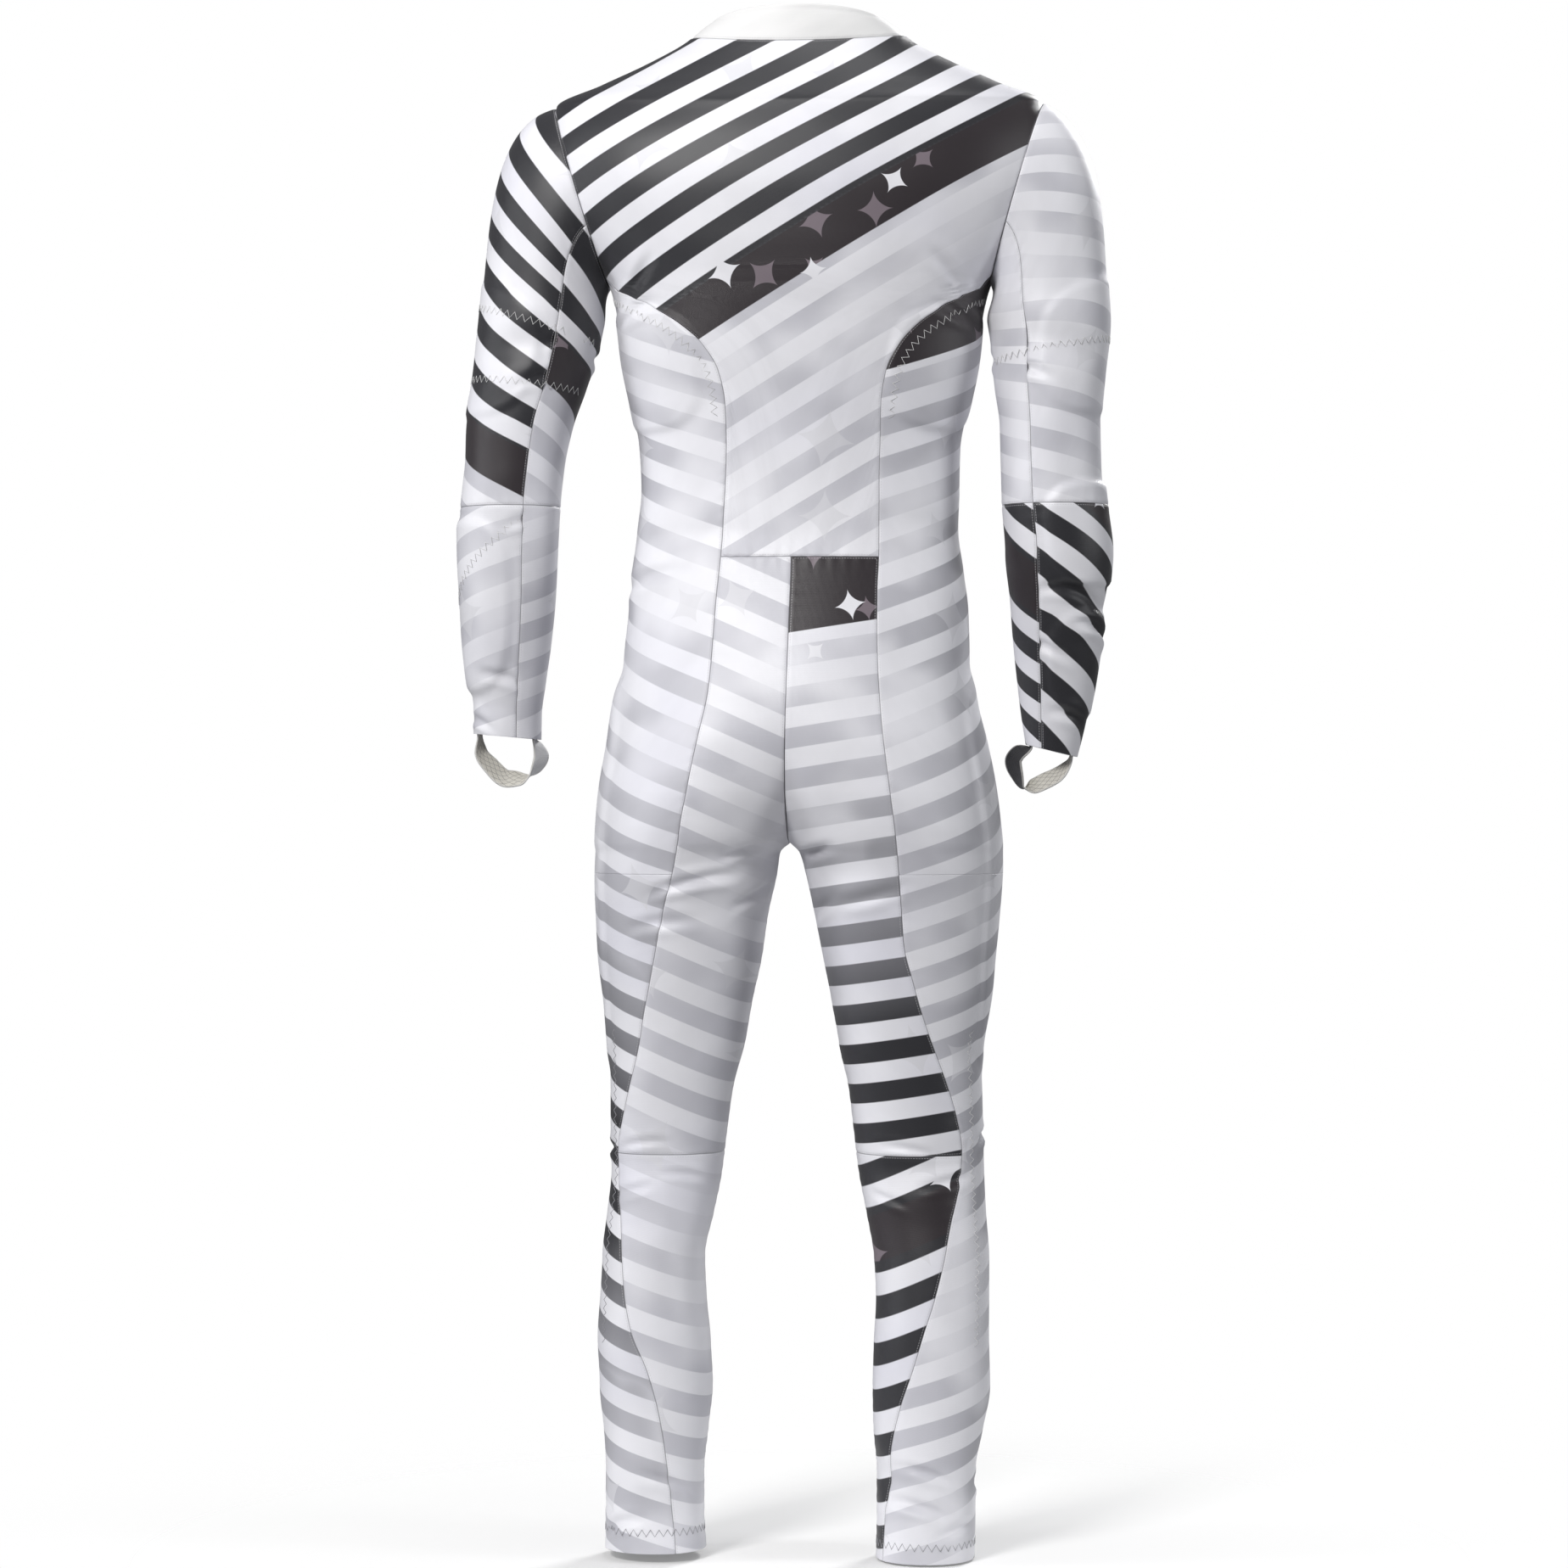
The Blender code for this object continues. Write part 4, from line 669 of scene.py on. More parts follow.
def scatterGroup(star):
    # The same star once in each cell of a grid, moved, turned and sized at random, and left out of some.
    tree, given, result = newGroup(
        "scatteredStars", [("Place", vectorKind, None), ("Cell", number, 0.05), ("Share", number, 0.6),
                           ("Seed", number, 0.0)], [("Mask", number), ("Tone", number)])
    scale = put(tree, "ShaderNodeCombineXYZ", {0: given["Cell"], 1: given["Cell"], 2: 1.0}).outputs[0]
    cells = vector(tree, "DIVIDE", given["Place"], scale)
    corner = vector(tree, "FLOOR", cells)
    shift = put(tree, "ShaderNodeCombineXYZ", {2: given["Seed"]}).outputs[0]
    seeded = vector(tree, "ADD", corner, shift)
    chance = put(tree, "ShaderNodeTexWhiteNoise", {"Vector": seeded}, noise_dimensions="3D")
    centre = (0.5, 0.5, 0.0)
    inCell = vector(tree, "SUBTRACT", vector(tree, "SUBTRACT", cells, corner), centre)
    move = vector(tree, "SUBTRACT", chance.outputs["Color"], centre)
    move = vector(tree, "MULTIPLY", move, (0.36, 0.36, 0.0))
    picks = put(tree, "ShaderNodeSeparateXYZ", {0: chance.outputs["Color"]}).outputs
    size = ramp(tree, picks[2], 0.0, 1.0, 0.22, 0.34)
    turn = calc(tree, "MULTIPLY", picks[2], 37.0)
    shape = useGroup(tree, star, {"Place": inCell, "Middle": move, "Size": size, "Turn": turn})
    there = calc(tree, "LESS_THAN", chance.outputs["Value"], given["Share"])
    tree.links.new(calc(tree, "MULTIPLY", shape.outputs[0], there), result["Mask"])
    tree.links.new(picks[0], result["Tone"])
    return tree


def seamGroup():
    # Painted shade as a dark line in the groove at a seam's edge, and a row of stitches beside it, by distance and
    # run in mm.
    tree, given, result = newGroup(
        "seamShadeAndStitch", [("Away", number, 99.0), ("Run", number, 0.0)],
        [("Line", number), ("Thread", number), ("Height", number)])
    line = ramp(tree, given["Away"], 0.75, 0.15)
    dash = calc(tree, "PINGPONG", calc(tree, "DIVIDE", given["Run"], 2.6), 0.5)
    beside = calc(tree, "ABSOLUTE", calc(tree, "SUBTRACT", given["Away"], 1.9))
    thread = calc(tree, "MULTIPLY", ramp(tree, beside, 0.42, 0.22), ramp(tree, dash, 0.12, 0.2))
    tree.links.new(line, result["Line"])
    tree.links.new(thread, result["Thread"])
    tree.links.new(calc(tree, "MULTIPLY", thread, 2.5), result["Height"])
    return tree


knit = knitGroup()
star = starGroup()
scatter = scatterGroup(star)
seams = seamGroup()

# The dark seam colour is painted shade for the grooves at the seams.
colours = {
    "white": (0.84, 0.84, 0.885, 1), "lavender": (0.73, 0.73, 0.81, 1), "softGrey": (0.61, 0.61, 0.665, 1),
    "black": (0.026, 0.026, 0.031, 1), "band": (0.030, 0.024, 0.028, 1), "mauve": (0.20, 0.165, 0.19, 1),
    "faint": (0.72, 0.72, 0.76, 1), "inside": (0.60, 0.60, 0.63, 1), "rim": (0.66, 0.66, 0.69, 1),
    "collar": (0.80, 0.80, 0.80, 1), "tape": (0.035, 0.034, 0.038, 1), "paintedSeamShade": (0.20, 0.20, 0.21, 1),
    "seamThread": (0.58, 0.57, 0.60, 1),
}


def newMaterial(name, roughness, sheen):
    material = bpy.data.materials.new(name)
    material.use_nodes = True
    tree = material.node_tree
    shader = tree.nodes["Principled BSDF"]
    shader.inputs["Roughness"].default_value = roughness
    shader.inputs["Sheen Weight"].default_value = sheen
    shader.inputs["Sheen Roughness"].default_value = 0.45
    return material, tree, shader


def attribute(tree, name):
    return put(tree, "ShaderNodeAttribute", attribute_name=name).outputs["Fac"]


def finishCloth(tree, shader, colour, strength=0.35):
    # Knit, painted shade in the seam grooves, and stitches over a cloth's printed colour.
    weave = useGroup(tree, knit, {"Place": uvPlace(tree)})
    seam = useGroup(tree, seams, {"Away": attribute(tree, "seamAway"), "Run": attribute(tree, "seamRun")})
    thread = calc(tree, "MULTIPLY", seam.outputs["Thread"], 0.45)
    # The seam's dark line is painted shade in the groove at each seam.
    line = calc(tree, "MULTIPLY", seam.outputs["Line"], 0.5)
    threaded = mix(tree, thread, toned(tree, colour, weave), colours["seamThread"])
    tree.links.new(mix(tree, line, threaded, colours["paintedSeamShade"]), shader.inputs["Base Color"])
    height = calc(tree, "ADD", weave.outputs["Height"], seam.outputs["Height"])
    bump(tree, shader, height, strength, 0.00012)


printLook = {"faintCell": 0.085, "faintShare": 0.4, "smallCell": 0.052, "smallShare": 0.5, "faintSeed": 7.0,
             "starOnWhite": 0.6, "starOnStripe": 0.55, "tintMost": 0.75, "roughness": 0.42, "sheen": 0.05}


def printedCloth(name, bigStars, seed):
    # Stripes from each point's phase and tone, dark areas with scattered stars, and a few large stars.
    look = printLook
    material, tree, shader = newMaterial(name, look["roughness"], look["sheen"])
    feeds = {0: attribute(tree, "printU"), 1: attribute(tree, "printV")}
    place = put(tree, "ShaderNodeCombineXYZ", feeds).outputs[0]
    wave = calc(tree, "PINGPONG", attribute(tree, "stripePhase"), 0.5)
    tone = calc(tree, "POWER", attribute(tree, "stripeTone"), 0.8)
    stripe = mix(tree, tone, colours["softGrey"], colours["black"])
    feeds = {"Place": place, "Cell": look["faintCell"], "Share": look["faintShare"], "Seed": seed + look["faintSeed"]}
    faint = useGroup(tree, scatter, feeds)
    # Broad clouds of a lavender tint lie on the white, and soft stripes fade in and out along them.
    cloud = noise(tree, place, 7.0, 2.0)
    tint = noise(tree, vector(tree, "ADD", place, (3.7, 1.9, 0.0)), 4.5, 1.0)
    white = mix(tree, ramp(tree, tint, 0.46, 0.70, 0.0, look["tintMost"]), colours["white"], colours["lavender"])
    ground = mix(tree, calc(tree, "MULTIPLY", faint.outputs["Mask"], look["starOnWhite"]), white, colours["faint"])
    onStripe = calc(tree, "MULTIPLY", faint.outputs["Mask"], ramp(tree, tone, 0.5, 0.2))
    stripe = mix(tree, calc(tree, "MULTIPLY", onStripe, look["starOnStripe"]), stripe, colours["faint"])
    strength = calc(tree, "MAXIMUM", ramp(tree, cloud, 0.36, 0.56, 0.15, 1.0), ramp(tree, tone, 0.15, 0.5))
    striped = mix(tree, calc(tree, "MULTIPLY", ramp(tree, wave, 0.235, 0.265), strength), ground, stripe)
    feeds = {"Place": place, "Cell": look["smallCell"], "Share": look["smallShare"], "Seed": seed}
    small = useGroup(tree, scatter, feeds)
    starTone = mix(tree, ramp(tree, small.outputs["Tone"], 0.70, 0.80), colours["mauve"], colours["faint"])
    dark = mix(tree, small.outputs["Mask"], colours["band"], starTone)
    printed = mix(tree, ramp(tree, attribute(tree, "darkArea"), -0.5, 0.5), striped, dark)
    for u, v, size, turn in bigStars:
        big = useGroup(tree, star, {"Place": place, "Middle": (u * mm, v * mm, 0), "Size": size * mm, "Turn": turn})
        printed = mix(tree, big.outputs[0], printed, colours["white"])
    finishCloth(tree, shader, printed)
    return material


def plainCloth(name, colour, roughness, strength, sheen):
    material, tree, shader = newMaterial(name, roughness, sheen)
    finishCloth(tree, shader, colour, strength)
    return material


insideCloth = plainCloth("insideCloth", colours["inside"], 0.8, 0.6, 0.25)
rimCloth = plainCloth("rimCloth", colours["rim"], 0.7, 0.5, 0.15)

# The print, a row for each panel: straight stripes with plain dark bands along them, bold in some
# panels and soft in others. Slope in degrees, rising to the wearer's right, period, tones as
# (level, tone) pairs, dark bands as (level, level), how much painted shade darkens it towards the outer
# line, and large stars as (across, drop, size, turn). A level is the drop at which a stripe's line meets
# the middle of its panel: x = 0 on the trunk and legs, the outer line on side panels and sleeves.
softTone = ((0, 0.02), (1500, 0.02))
boldTone = ((0, 1.0), (1500, 1.0))
chest = {"slope": 31, "tone": ((0, 1.0), (196, 1.0), (215, 0.03), (620, 0.02)), "bands": ((196, 244),)}
# The outward share darkens the side panels' stripes towards the outer line: painted shade.
sideLeft = {"slope": -18, "seed": 31, "outwards": 0.12}
sideRight = {"slope": 18, "seed": 33, "outwards": 0.24}
softLeg = {"slope": -20, "period": 40, "tone": softTone}
boldLeg = {"slope": 24, "period": 40, "tone": boldTone, "bands": ((1158, 1204),)}
boldArm = {"slope": -26, "tone": ((0, 1.0), (352, 1.0), (372, 0.03), (450, 0.03)), "bands": ((352, 396),)}
softForearm = {"slope": 18, "tone": softTone}
softArm = {"slope": -14, "tone": softTone}
boldForearm = {"slope": -34, "tone": boldTone, "bands": ((430, 486),)}
prints = {
    "bodice_back": {**chest, "stars": ((-64, 236, 17, 0.4), (96, 152, 14, 1.1), (-112, 300, 12, 0.9),
                                       (20, 236, 13, 0.2))},
    "bodice_front_left": {**chest, "stars": ((-60, 228, 15, 0.5),)},
    "bodice_front_right": chest,
    "side_left": {**sideLeft, "tone": ((200, 0.02), (640, 0.04), (801, 0.12))},
    "side_right": {**sideRight, "tone": ((200, 0.04), (801, 0.06)), "bands": ((180, 282),)},
    "leg_side_left": {**sideLeft, "tone": ((801, 0.12), (930, 0.5), (1040, 1.0), (1120, 1.0), (1270, 0.2),
                                           (1446, 0.03))},
    "leg_side_right": {**sideRight, "tone": ((801, 0.06), (1446, 0.03))},
    "seat_left": {"slope": -24, "tone": softTone},
    "seat_right": {"slope": 9, "tone": ((560, 0.03), (700, 0.06), (840, 0.45), (960, 1.0)),
                   "bands": ((440, 574),), "stars": ((54, 548, 15, 0.2), (22, 592, 11, 0.8))},
    "thigh_front_left": {"slope": -18, "tone": softTone},
    "thigh_front_right": {"slope": 9, "tone": ((600, 0.03), (700, 0.06), (840, 0.45), (960, 1.0))},
    "calf_left": softLeg, "shin_left": softLeg,
    "calf_right": {**boldLeg, "stars": ((140, 1088, 15, 0.5),)}, "shin_right": boldLeg,
    "sleeve_outer_left": {**boldArm, "stars": ((-36, 366, 13, 0.3),)}, "sleeve_under_left": boldArm,
    "forearm_outer_left": softForearm, "forearm_under_left": softForearm,
    "sleeve_outer_right": softArm, "sleeve_under_right": softArm,
    "forearm_outer_right": {**boldForearm, "stars": ((-30, 446, 13, 0.7),)}, "forearm_under_right": boldForearm,
}


def printOn(row, angle, u, v):
    # Level of each point, and from it the stripes' phase, their tone and the distance into a dark band.
    slope = math.radians(row["slope"])
    level = v + u * math.tan(slope)
    phase = level * math.cos(slope) / row.get("period", 38)
    levels, tones = zip(*row["tone"])
    # Painted shade: the stripes darken towards the outer line by the row's outward share.
    tone = np.interp(level, levels, tones) + row.get("outwards", 0.0) * np.clip(np.sin(angle), 0, 1) ** 3
    dark = np.full(u.shape, -60.0)
    for top, bottom in row.get("bands", ()):
        dark = np.maximum(dark, np.minimum(level - top, bottom - level) * math.cos(slope))
    return phase, np.clip(tone, 0, 1), np.clip(dark, -60, 60)


def girthFrom(angle, grid, start):
    # Length along each row, counted from where the row crosses the start angle.
    across, _ = lengths(grid)
    zero = np.array([np.interp(start, a, g) for a, g in zip(angle, across)])
    return across - zero[:, None]


def pullBack(outer, amount=0.08):
    # Draws a panel's outline in a little, so that two panels never share a point.
    grid = outer.copy()
    for line, beside in ((0, 1), (-1, -2)):
        grid[line] += amount * (grid[beside] - grid[line])
    for line, beside in ((0, 1), (-1, -2)):
        grid[:, line] += amount * (grid[:, beside] - grid[:, line])
    return grid


def clothPanel(node, side, limb, angle, drop, hems=(), laid=None):
    # Across a body panel the print is laid by x, and round a side panel or sleeve by girth.
    row = prints[node]
    outer, n = laid or skin(limb, side, angle, drop)
    outer = pullBack(outer)
    across, down = lengths(outer)
    if "side" in node or limb == "arm":
        u = side * girthFrom(angle, outer, outerLine if limb == "body" else 0.0)
    else:
        u = outer[..., 0].copy()
    v = drop.copy()
    if limb == "arm" and drop.min() < cut["armTop"]:
        top = np.argmin(np.abs(drop[:, 0] - cut["armTop"]))
        v = np.where(drop < cut["armTop"], cut["armTop"] - (down[top:top + 1] - down), drop)
    phase, tone, dark = printOn(row, angle, u, v)
    grooved, away, run = seamLook(outer, n, hems)
    attributes = {"stripePhase": phase, "stripeTone": tone, "darkArea": dark, "printU": u * mm, "printV": v * mm,
                  "seamAway": away, "seamRun": run}
    seed = row.get("seed", len(bpy.data.objects))
    material = printedCloth("cloth_" + node, row.get("stars", ()), float(seed))
    uv = np.stack([across, down], axis=-1) * mm
    piece = shell("skin_" + node, grooved, outer - n * cut["wall"], uv, attributes, (material, insideCloth, rimCloth))
    return declareCloth(piece, node)


print("stage: body panels")


def bodicePanel(side, front):
    drops = rowDrops(0.0, float(cut["frontWaist"] if front else cut["backWaist"]), shoulder=True)
    edge = bodiceEdge(side, drops, front)
    if front:
        middle = angleAtX(side, drops, zipX(side, drops) + 0.1, front=True)
    else:
        middle = np.zeros(len(drops))
    return spread("body", side, middle, edge, drops)


def betweenSeams(side, drops):
    return spread("body", side, seamAngle(side, drops), seamAngle(side, drops, front=True), drops)


halves = []
for side in (left, right):
    angle, drop = bodicePanel(side, front=False)
    halves.append((angle, drop, *skin("body", side, angle, drop)))
angle, drop, outer, n = (np.concatenate([a[:, :0:-1], b], axis=1) for a, b in zip(*halves))
clothPanel("bodice_back", right, "body", angle, drop, laid=(outer, n))

for side in (left, right):
    name = sideNames[side]
    clothPanel("bodice_front_" + name, side, "body", *bodicePanel(side, front=True))

    # The body's side panel: its top edge is the foot of the armhole, then level rows down to the hip.
    angle, drop = betweenSeams(side, rowDrops(float(seamRows[0, 0]), float(cut["hip"])))
    share = (angle[0] - angle[0, 0]) / (angle[0, -1] - angle[0, 0])
    topDrop = armholeMiddle - armholeHalf * np.cos(math.pi * (0.875 + 0.25 * share))
    topAngle = np.where(share < 0.5, armholeAngle(side, topDrop), armholeAngle(side, topDrop, front=True))
    steps = np.array([0.0, 0.12, 0.3, 0.6])[:, None]
    angle = np.concatenate([topAngle * (1 - steps) + angle[:1] * steps, angle])
    drop = np.concatenate([topDrop * (1 - steps) + drop[:1] * steps, drop])
    clothPanel("side_" + name, side, "body", angle, drop, hems=("bottom",))

    hem = float(cut["hem"][side])
    legSide = betweenSeams(side, rowDrops(float(cut["hip"]), hem))
    clothPanel("leg_side_" + name, side, "body", *legSide, hems=("top", "bottom"))

    for node, top, bottom, front in (
            ("seat", cut["backWaist"], cut["knee"], False), ("calf", cut["knee"], hem, False),
            ("thigh_front", cut["frontWaist"], cut["knee"], True), ("shin", cut["knee"], hem, True)):
        drops = rowDrops(float(top), float(bottom))
        laidOut = spread("body", side, innerAngle(side, drops, front), seamAngle(side, drops, front), drops)
        clothPanel(node + "_" + name, side, "body", *laidOut, hems=("bottom",) if bottom == hem else ())

print("stage: sleeves")
for side in (left, right):
    quarter = 2 * math.pi * 5 / 16
    for part, first, last in (("outer_", -quarter, quarter), ("under_", quarter, 2 * math.pi - quarter)):
        for node, top, bottom, hems in (("sleeve_", cut["capTop"], cut["elbow"], ()),
                                        ("forearm_", cut["elbow"], cut["cuff"][side], ("bottom",))):
            drops = rowDrops(float(top), float(bottom))
            laidOut = spread("arm", side, np.full(len(drops), first), np.full(len(drops), last), drops)
            clothPanel(node + part + sideNames[side], side, "arm", *laidOut, hems=hems)

print("stage: collar and zip")
collarShape = {"half": 83, "back": 62, "front": 50, "middleY": -4, "upBack": 23, "upSide": 13, "upFront": -21,
               "bulge": 1.3, "edgeRoll": 0.5}
zipShape = {"foot": 600, "offsets": (-12, -11.3, -9.5, -7, -4.6, -2, 2, 4.6, 7, 9.5, 11.3, 12)}
toothShape = {"pitch": 1.7, "root": 0.9, "reach": 3.3, "half": 0.34, "height": 1.3, "sunk": 0.2, "chamfer": 0.22}


def collarRing(side, angle):
    # The collar's top edge: an ellipse seen from above, whose height follows |cos|^1.2.
    sine, cosine = np.sin(angle), np.cos(angle)
    y = collarShape["middleY"] - np.where(cosine > 0, collarShape["back"], collarShape["front"]) * cosine
    ends = np.where(cosine > 0, collarShape["upBack"], collarShape["upFront"])
    up = collarShape["upSide"] + (ends - collarShape["upSide"]) * np.abs(cosine) ** 1.2
    return np.stack([side * collarShape["half"] * sine, y, up], axis=-1)


def collarLines(side, bottomAngle, topAngle, share):
    # Straight lines from the top edge down to the neck seam.
    base = bodyPoint(side, bottomAngle, np.zeros(len(bottomAngle)))
    return collarRing(side, topAngle) * (1 - share) + base * share


def collarFrontAngle(halfWidth):
    return math.pi - math.asin(halfWidth / collarShape["half"])


def gridNormal(grid):
    n = np.cross(np.gradient(grid, axis=0), np.gradient(grid, axis=1))
    return n / np.maximum(np.linalg.norm(n, axis=-1, keepdims=True), 1e-9)


collarShare = np.concatenate([[0, 0.012, 0.035, 0.07, 0.12], np.linspace(0.18, 0.88, 11), [0.93, 0.965, 0.985, 1.0]])
rings = {}
for side in (left, right):
    atNeck = float(angleAtX(side, np.array(0.0), zipX(side, 0.0), front=True))
    back = np.linspace(0, outerLine, 48)
    bottom = np.concatenate([back, np.linspace(outerLine, atNeck, 44)[1:]])
    top = np.concatenate([back, np.linspace(outerLine, collarFrontAngle(cut["zipHalfWidth"]), 44)[1:]])
    rings[side] = collarLines(side, bottom, top, collarShare[:, None, None])
outer = np.concatenate([rings[left][:, :0:-1], rings[right]], axis=1)
n = gridNormal(outer)
middle = outer.mean(axis=(0, 1)) * (0, 0, 1) + (0, -6, 0)
n = n * np.sign(np.sum(n * (outer - middle) * (1, 1, 0), axis=-1, keepdims=True))
across, down = lengths(outer)
fromZip = np.minimum(across, across[:, -1:] - across)
lift = collarShape["bulge"] * np.sin(math.pi * collarShare)[:, None] * smoothStep(fromZip / 40)
lift = lift + collarShape["edgeRoll"] * (np.exp(-((down - 1.8) / 1.5) ** 2) - np.exp(-((down - 5.5) / 0.9) ** 2))
outer = pullBack(outer) + n * lift[..., None]
grooved, away, run = seamLook(outer, n, hems=("top",))
collarCloth = plainCloth("collarCloth", colours["collar"], 0.5, 0.3, 0.12)
piece = shell("standCollar", grooved, grooved - n * cut["wall"], np.stack([across, down], axis=-1) * mm,
              {"seamAway": away, "seamRun": run}, (collarCloth, insideCloth, rimCloth))
declareCloth(piece, "collar")


def zipGrid(offsets):
    # Lines down the front at fixed distances from its middle, over the collar and then the chest.
    drops = rowDrops(0.0, float(zipShape["foot"]), shoulder=True)
    columns = []
    for offset in offsets:
        side = left if offset < 0 else right
        angle = angleAtX(side, drops, zipX(side, drops) - cut["zipHalfWidth"] + abs(offset), front=True)
        body, _ = skin("body", side, angle, drops)
        topAngle = np.array([collarFrontAngle(abs(offset))])
        neck = collarLines(side, angle[:1], topAngle, collarShare[:-1, None, None])[:, 0]
        columns.append(np.concatenate([neck, body]))
    outer = np.stack(columns, axis=1)
    n = gridNormal(outer)
    return outer, n * np.sign(n[..., 1:2])


outer, n = zipGrid(zipShape["offsets"])
across, down = lengths(outer)
tapeCloth, tree, shader = newMaterial("zipTapeCloth", 0.7, 0.2)
weave = useGroup(tree, knit, {"Place": uvPlace(tree), "Wale": 0.0007, "Course": 0.0016})
tree.links.new(toned(tree, colours["tape"], weave), shader.inputs["Base Color"])
bump(tree, shader, weave.outputs["Height"], 0.7, 0.0002)
outer = pullBack(outer)
piece = shell("zipTape", outer - n * 0.12, outer - n * cut["wall"], np.stack([across, down], axis=-1) * mm, {},
              (tapeCloth, tapeCloth, tapeCloth))
declareCloth(piece, "zip_tape")


def plainMesh(name, coords, faces, material, smooth=False):
    mesh = bpy.data.meshes.new(name)
    mesh.from_pydata((np.asarray(coords) * mm).tolist(), [], np.asarray(faces).tolist())
    mesh.polygons.foreach_set("use_smooth", np.full(len(mesh.polygons), smooth))
    mesh.materials.append(material)
    mesh.update()
    return intoScene(name, mesh)


def zipTeeth():
    # One small wedge for each tooth, left and right by turns, along the middle of the tape.
    line, out = (grid.mean(axis=1) for grid in zipGrid((-0.5, 0.5)))
    length = np.concatenate([[0], np.cumsum(np.linalg.norm(np.diff(line, axis=0), axis=1))])
    at = np.arange(1.5, length[-1] - 3, toothShape["pitch"] / 2)
    here = np.stack([np.interp(at, length, line[:, k]) for k in range(3)], axis=1)
    up = np.stack([np.interp(at, length, out[:, k]) for k in range(3)], axis=1)
    up = up / np.linalg.norm(up, axis=1, keepdims=True)
    along = np.gradient(here, axis=0)
    along = along / np.linalg.norm(along, axis=1, keepdims=True)
    across = np.cross(up, along)
    turn = np.where(np.arange(len(at)) % 2 == 0, 1.0, -1.0)
    root, reach, half, high = (toothShape[key] for key in ("root", "reach", "half", "height"))
    levels = ((-toothShape["sunk"], 0.0), (high * 0.6, 0.0), (high, toothShape["chamfer"]))
    local = np.array([(x, y, z) for z, inset in levels
                      for x, y in ((-root + inset, -half + inset / 2), (reach - inset, -half + inset / 2),
                                   (reach - inset, half - inset / 2), (-root + inset, half - inset / 2))])
    coords = (here[:, None] + across[:, None] * (local[None, :, :1] * turn[:, None, None])
              + along[:, None] * local[None, :, 1:2] + up[:, None] * local[None, :, 2:])
    quads = [(3, 2, 1, 0), (8, 9, 10, 11)]
    for low in (0, 4):
        quads += [(low + k, low + (k + 1) % 4, low + 4 + (k + 1) % 4, low + 4 + k) for k in range(4)]
    quads = outwards(coords[0], np.array(quads))
    faces = quads[None] + 12 * np.arange(len(at))[:, None, None]
    faces = np.where((turn > 0)[:, None, None], faces, faces[:, :, ::-1])
    return coords.reshape(-1, 3), faces.reshape(-1, 4)


def mottle(tree, shader, spots, dark, light):
    tree.links.new(mix(tree, ramp(tree, spots, 0.35, 0.65), dark, light), shader.inputs["Base Color"])


toothPlastic, tree, shader = newMaterial("zipToothPlastic", 0.35, 0.0)
spots = noise(tree, objectPlace(tree), 700.0, 2.0)
mottle(tree, shader, spots, (0.05, 0.05, 0.055, 1), (0.075, 0.075, 0.08, 1))
tree.links.new(ramp(tree, spots, 0.3, 0.7, 0.28, 0.45), shader.inputs["Roughness"])
piece = plainMesh("zipTeeth", *zipTeeth(), toothPlastic)
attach(piece, "suit")

zipMetal, tree, shader = newMaterial("zipMetal", 0.3, 0.0)
shader.inputs["Metallic"].default_value = 1.0
spots = noise(tree, objectPlace(tree), 260.0, 4.0)
mottle(tree, shader, spots, (0.30, 0.30, 0.32, 1), (0.40, 0.40, 0.42, 1))
tree.links.new(ramp(tree, spots, 0.3, 0.7, 0.38, 0.5), shader.inputs["Roughness"])
bump(tree, shader, noise(tree, objectPlace(tree), 2400.0, 2.0), 0.08, 0.0001)


metalEdge = {"mergeWithin": 1e-6, "flatDegrees": 2, "round": 0.0003, "steps": 2, "fullness": 0.6}


def metalPiece(name, node, body):
    # The solid's own form with its edges rounded.
    mesh = frame["nodes"][node].data.copy()
    mesh.name = name
    shape = bmesh.new()
    shape.from_mesh(mesh)
    bmesh.ops.remove_doubles(shape, verts=shape.verts, dist=metalEdge["mergeWithin"])
    flat = math.radians(metalEdge["flatDegrees"])
    bmesh.ops.dissolve_limit(shape, angle_limit=flat, verts=shape.verts, edges=shape.edges)
    bmesh.ops.bevel(shape, geom=shape.edges, offset=metalEdge["round"], segments=metalEdge["steps"],
                    profile=metalEdge["fullness"], affect="EDGES")
    shape.to_mesh(mesh)
    shape.free()
    mesh.polygons.foreach_set("use_smooth", np.zeros(len(mesh.polygons), bool))
    mesh.materials.clear()
    mesh.materials.append(zipMetal)
    piece = intoScene(name, mesh)
    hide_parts(node)
    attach(piece, body)


metalPiece("zipSlider", "zip_slider", "suit")
metalPiece("zipPull", "zip_pull", "pull_tab")

print("stage: hand loops")
loopShape = {
    "width": 20, "wall": 2.0, "bow": {left: 1.9, right: 1.3}, "steps": 132, "columns": 13,
    # From the left end to the right: x and y from the middle of the cuff, drop below its edge, lean.
    left: ((-26.8, -1.2, -7, 0), (-27.0, 0, 1, 5), (-26, -1, 14, 28), (-16, -3, 28, 48), (1, -4, 41, 55),
           (13, -4, 41, 40), (22, -3, 38, 5), (29, -2, 30, -25), (33, 0, 19, -38), (30, 0.6, 9, -20),
           (25.8, -0.2, 1, 0), (25.4, -2.0, -9, 0)),
    right: ((-20.0, -2.4, -12, 0), (-19.6, -0.6, -4, -5), (-32, 0, 2, -48), (-37, -1, 10, -52),
            (-33, -3, 24, -35), (-26, -4, 36, 0), (-17, -4, 34, 45), (-6, -4, 29, 50), (4, -3, 24, 45),
            (12, -1, 17, 30), (18.4, 0, 7, 8), (19.2, -0.6, -1, 0)),
}


loopColours = {"inside": (0.68, 0.66, 0.60, 1), "net": (0.13, 0.12, 0.12, 1), "outside": (0.68, 0.68, 0.69, 1),
               "darkPart": (0.035, 0.035, 0.038, 1), "edge": (0.66, 0.65, 0.62, 1)}


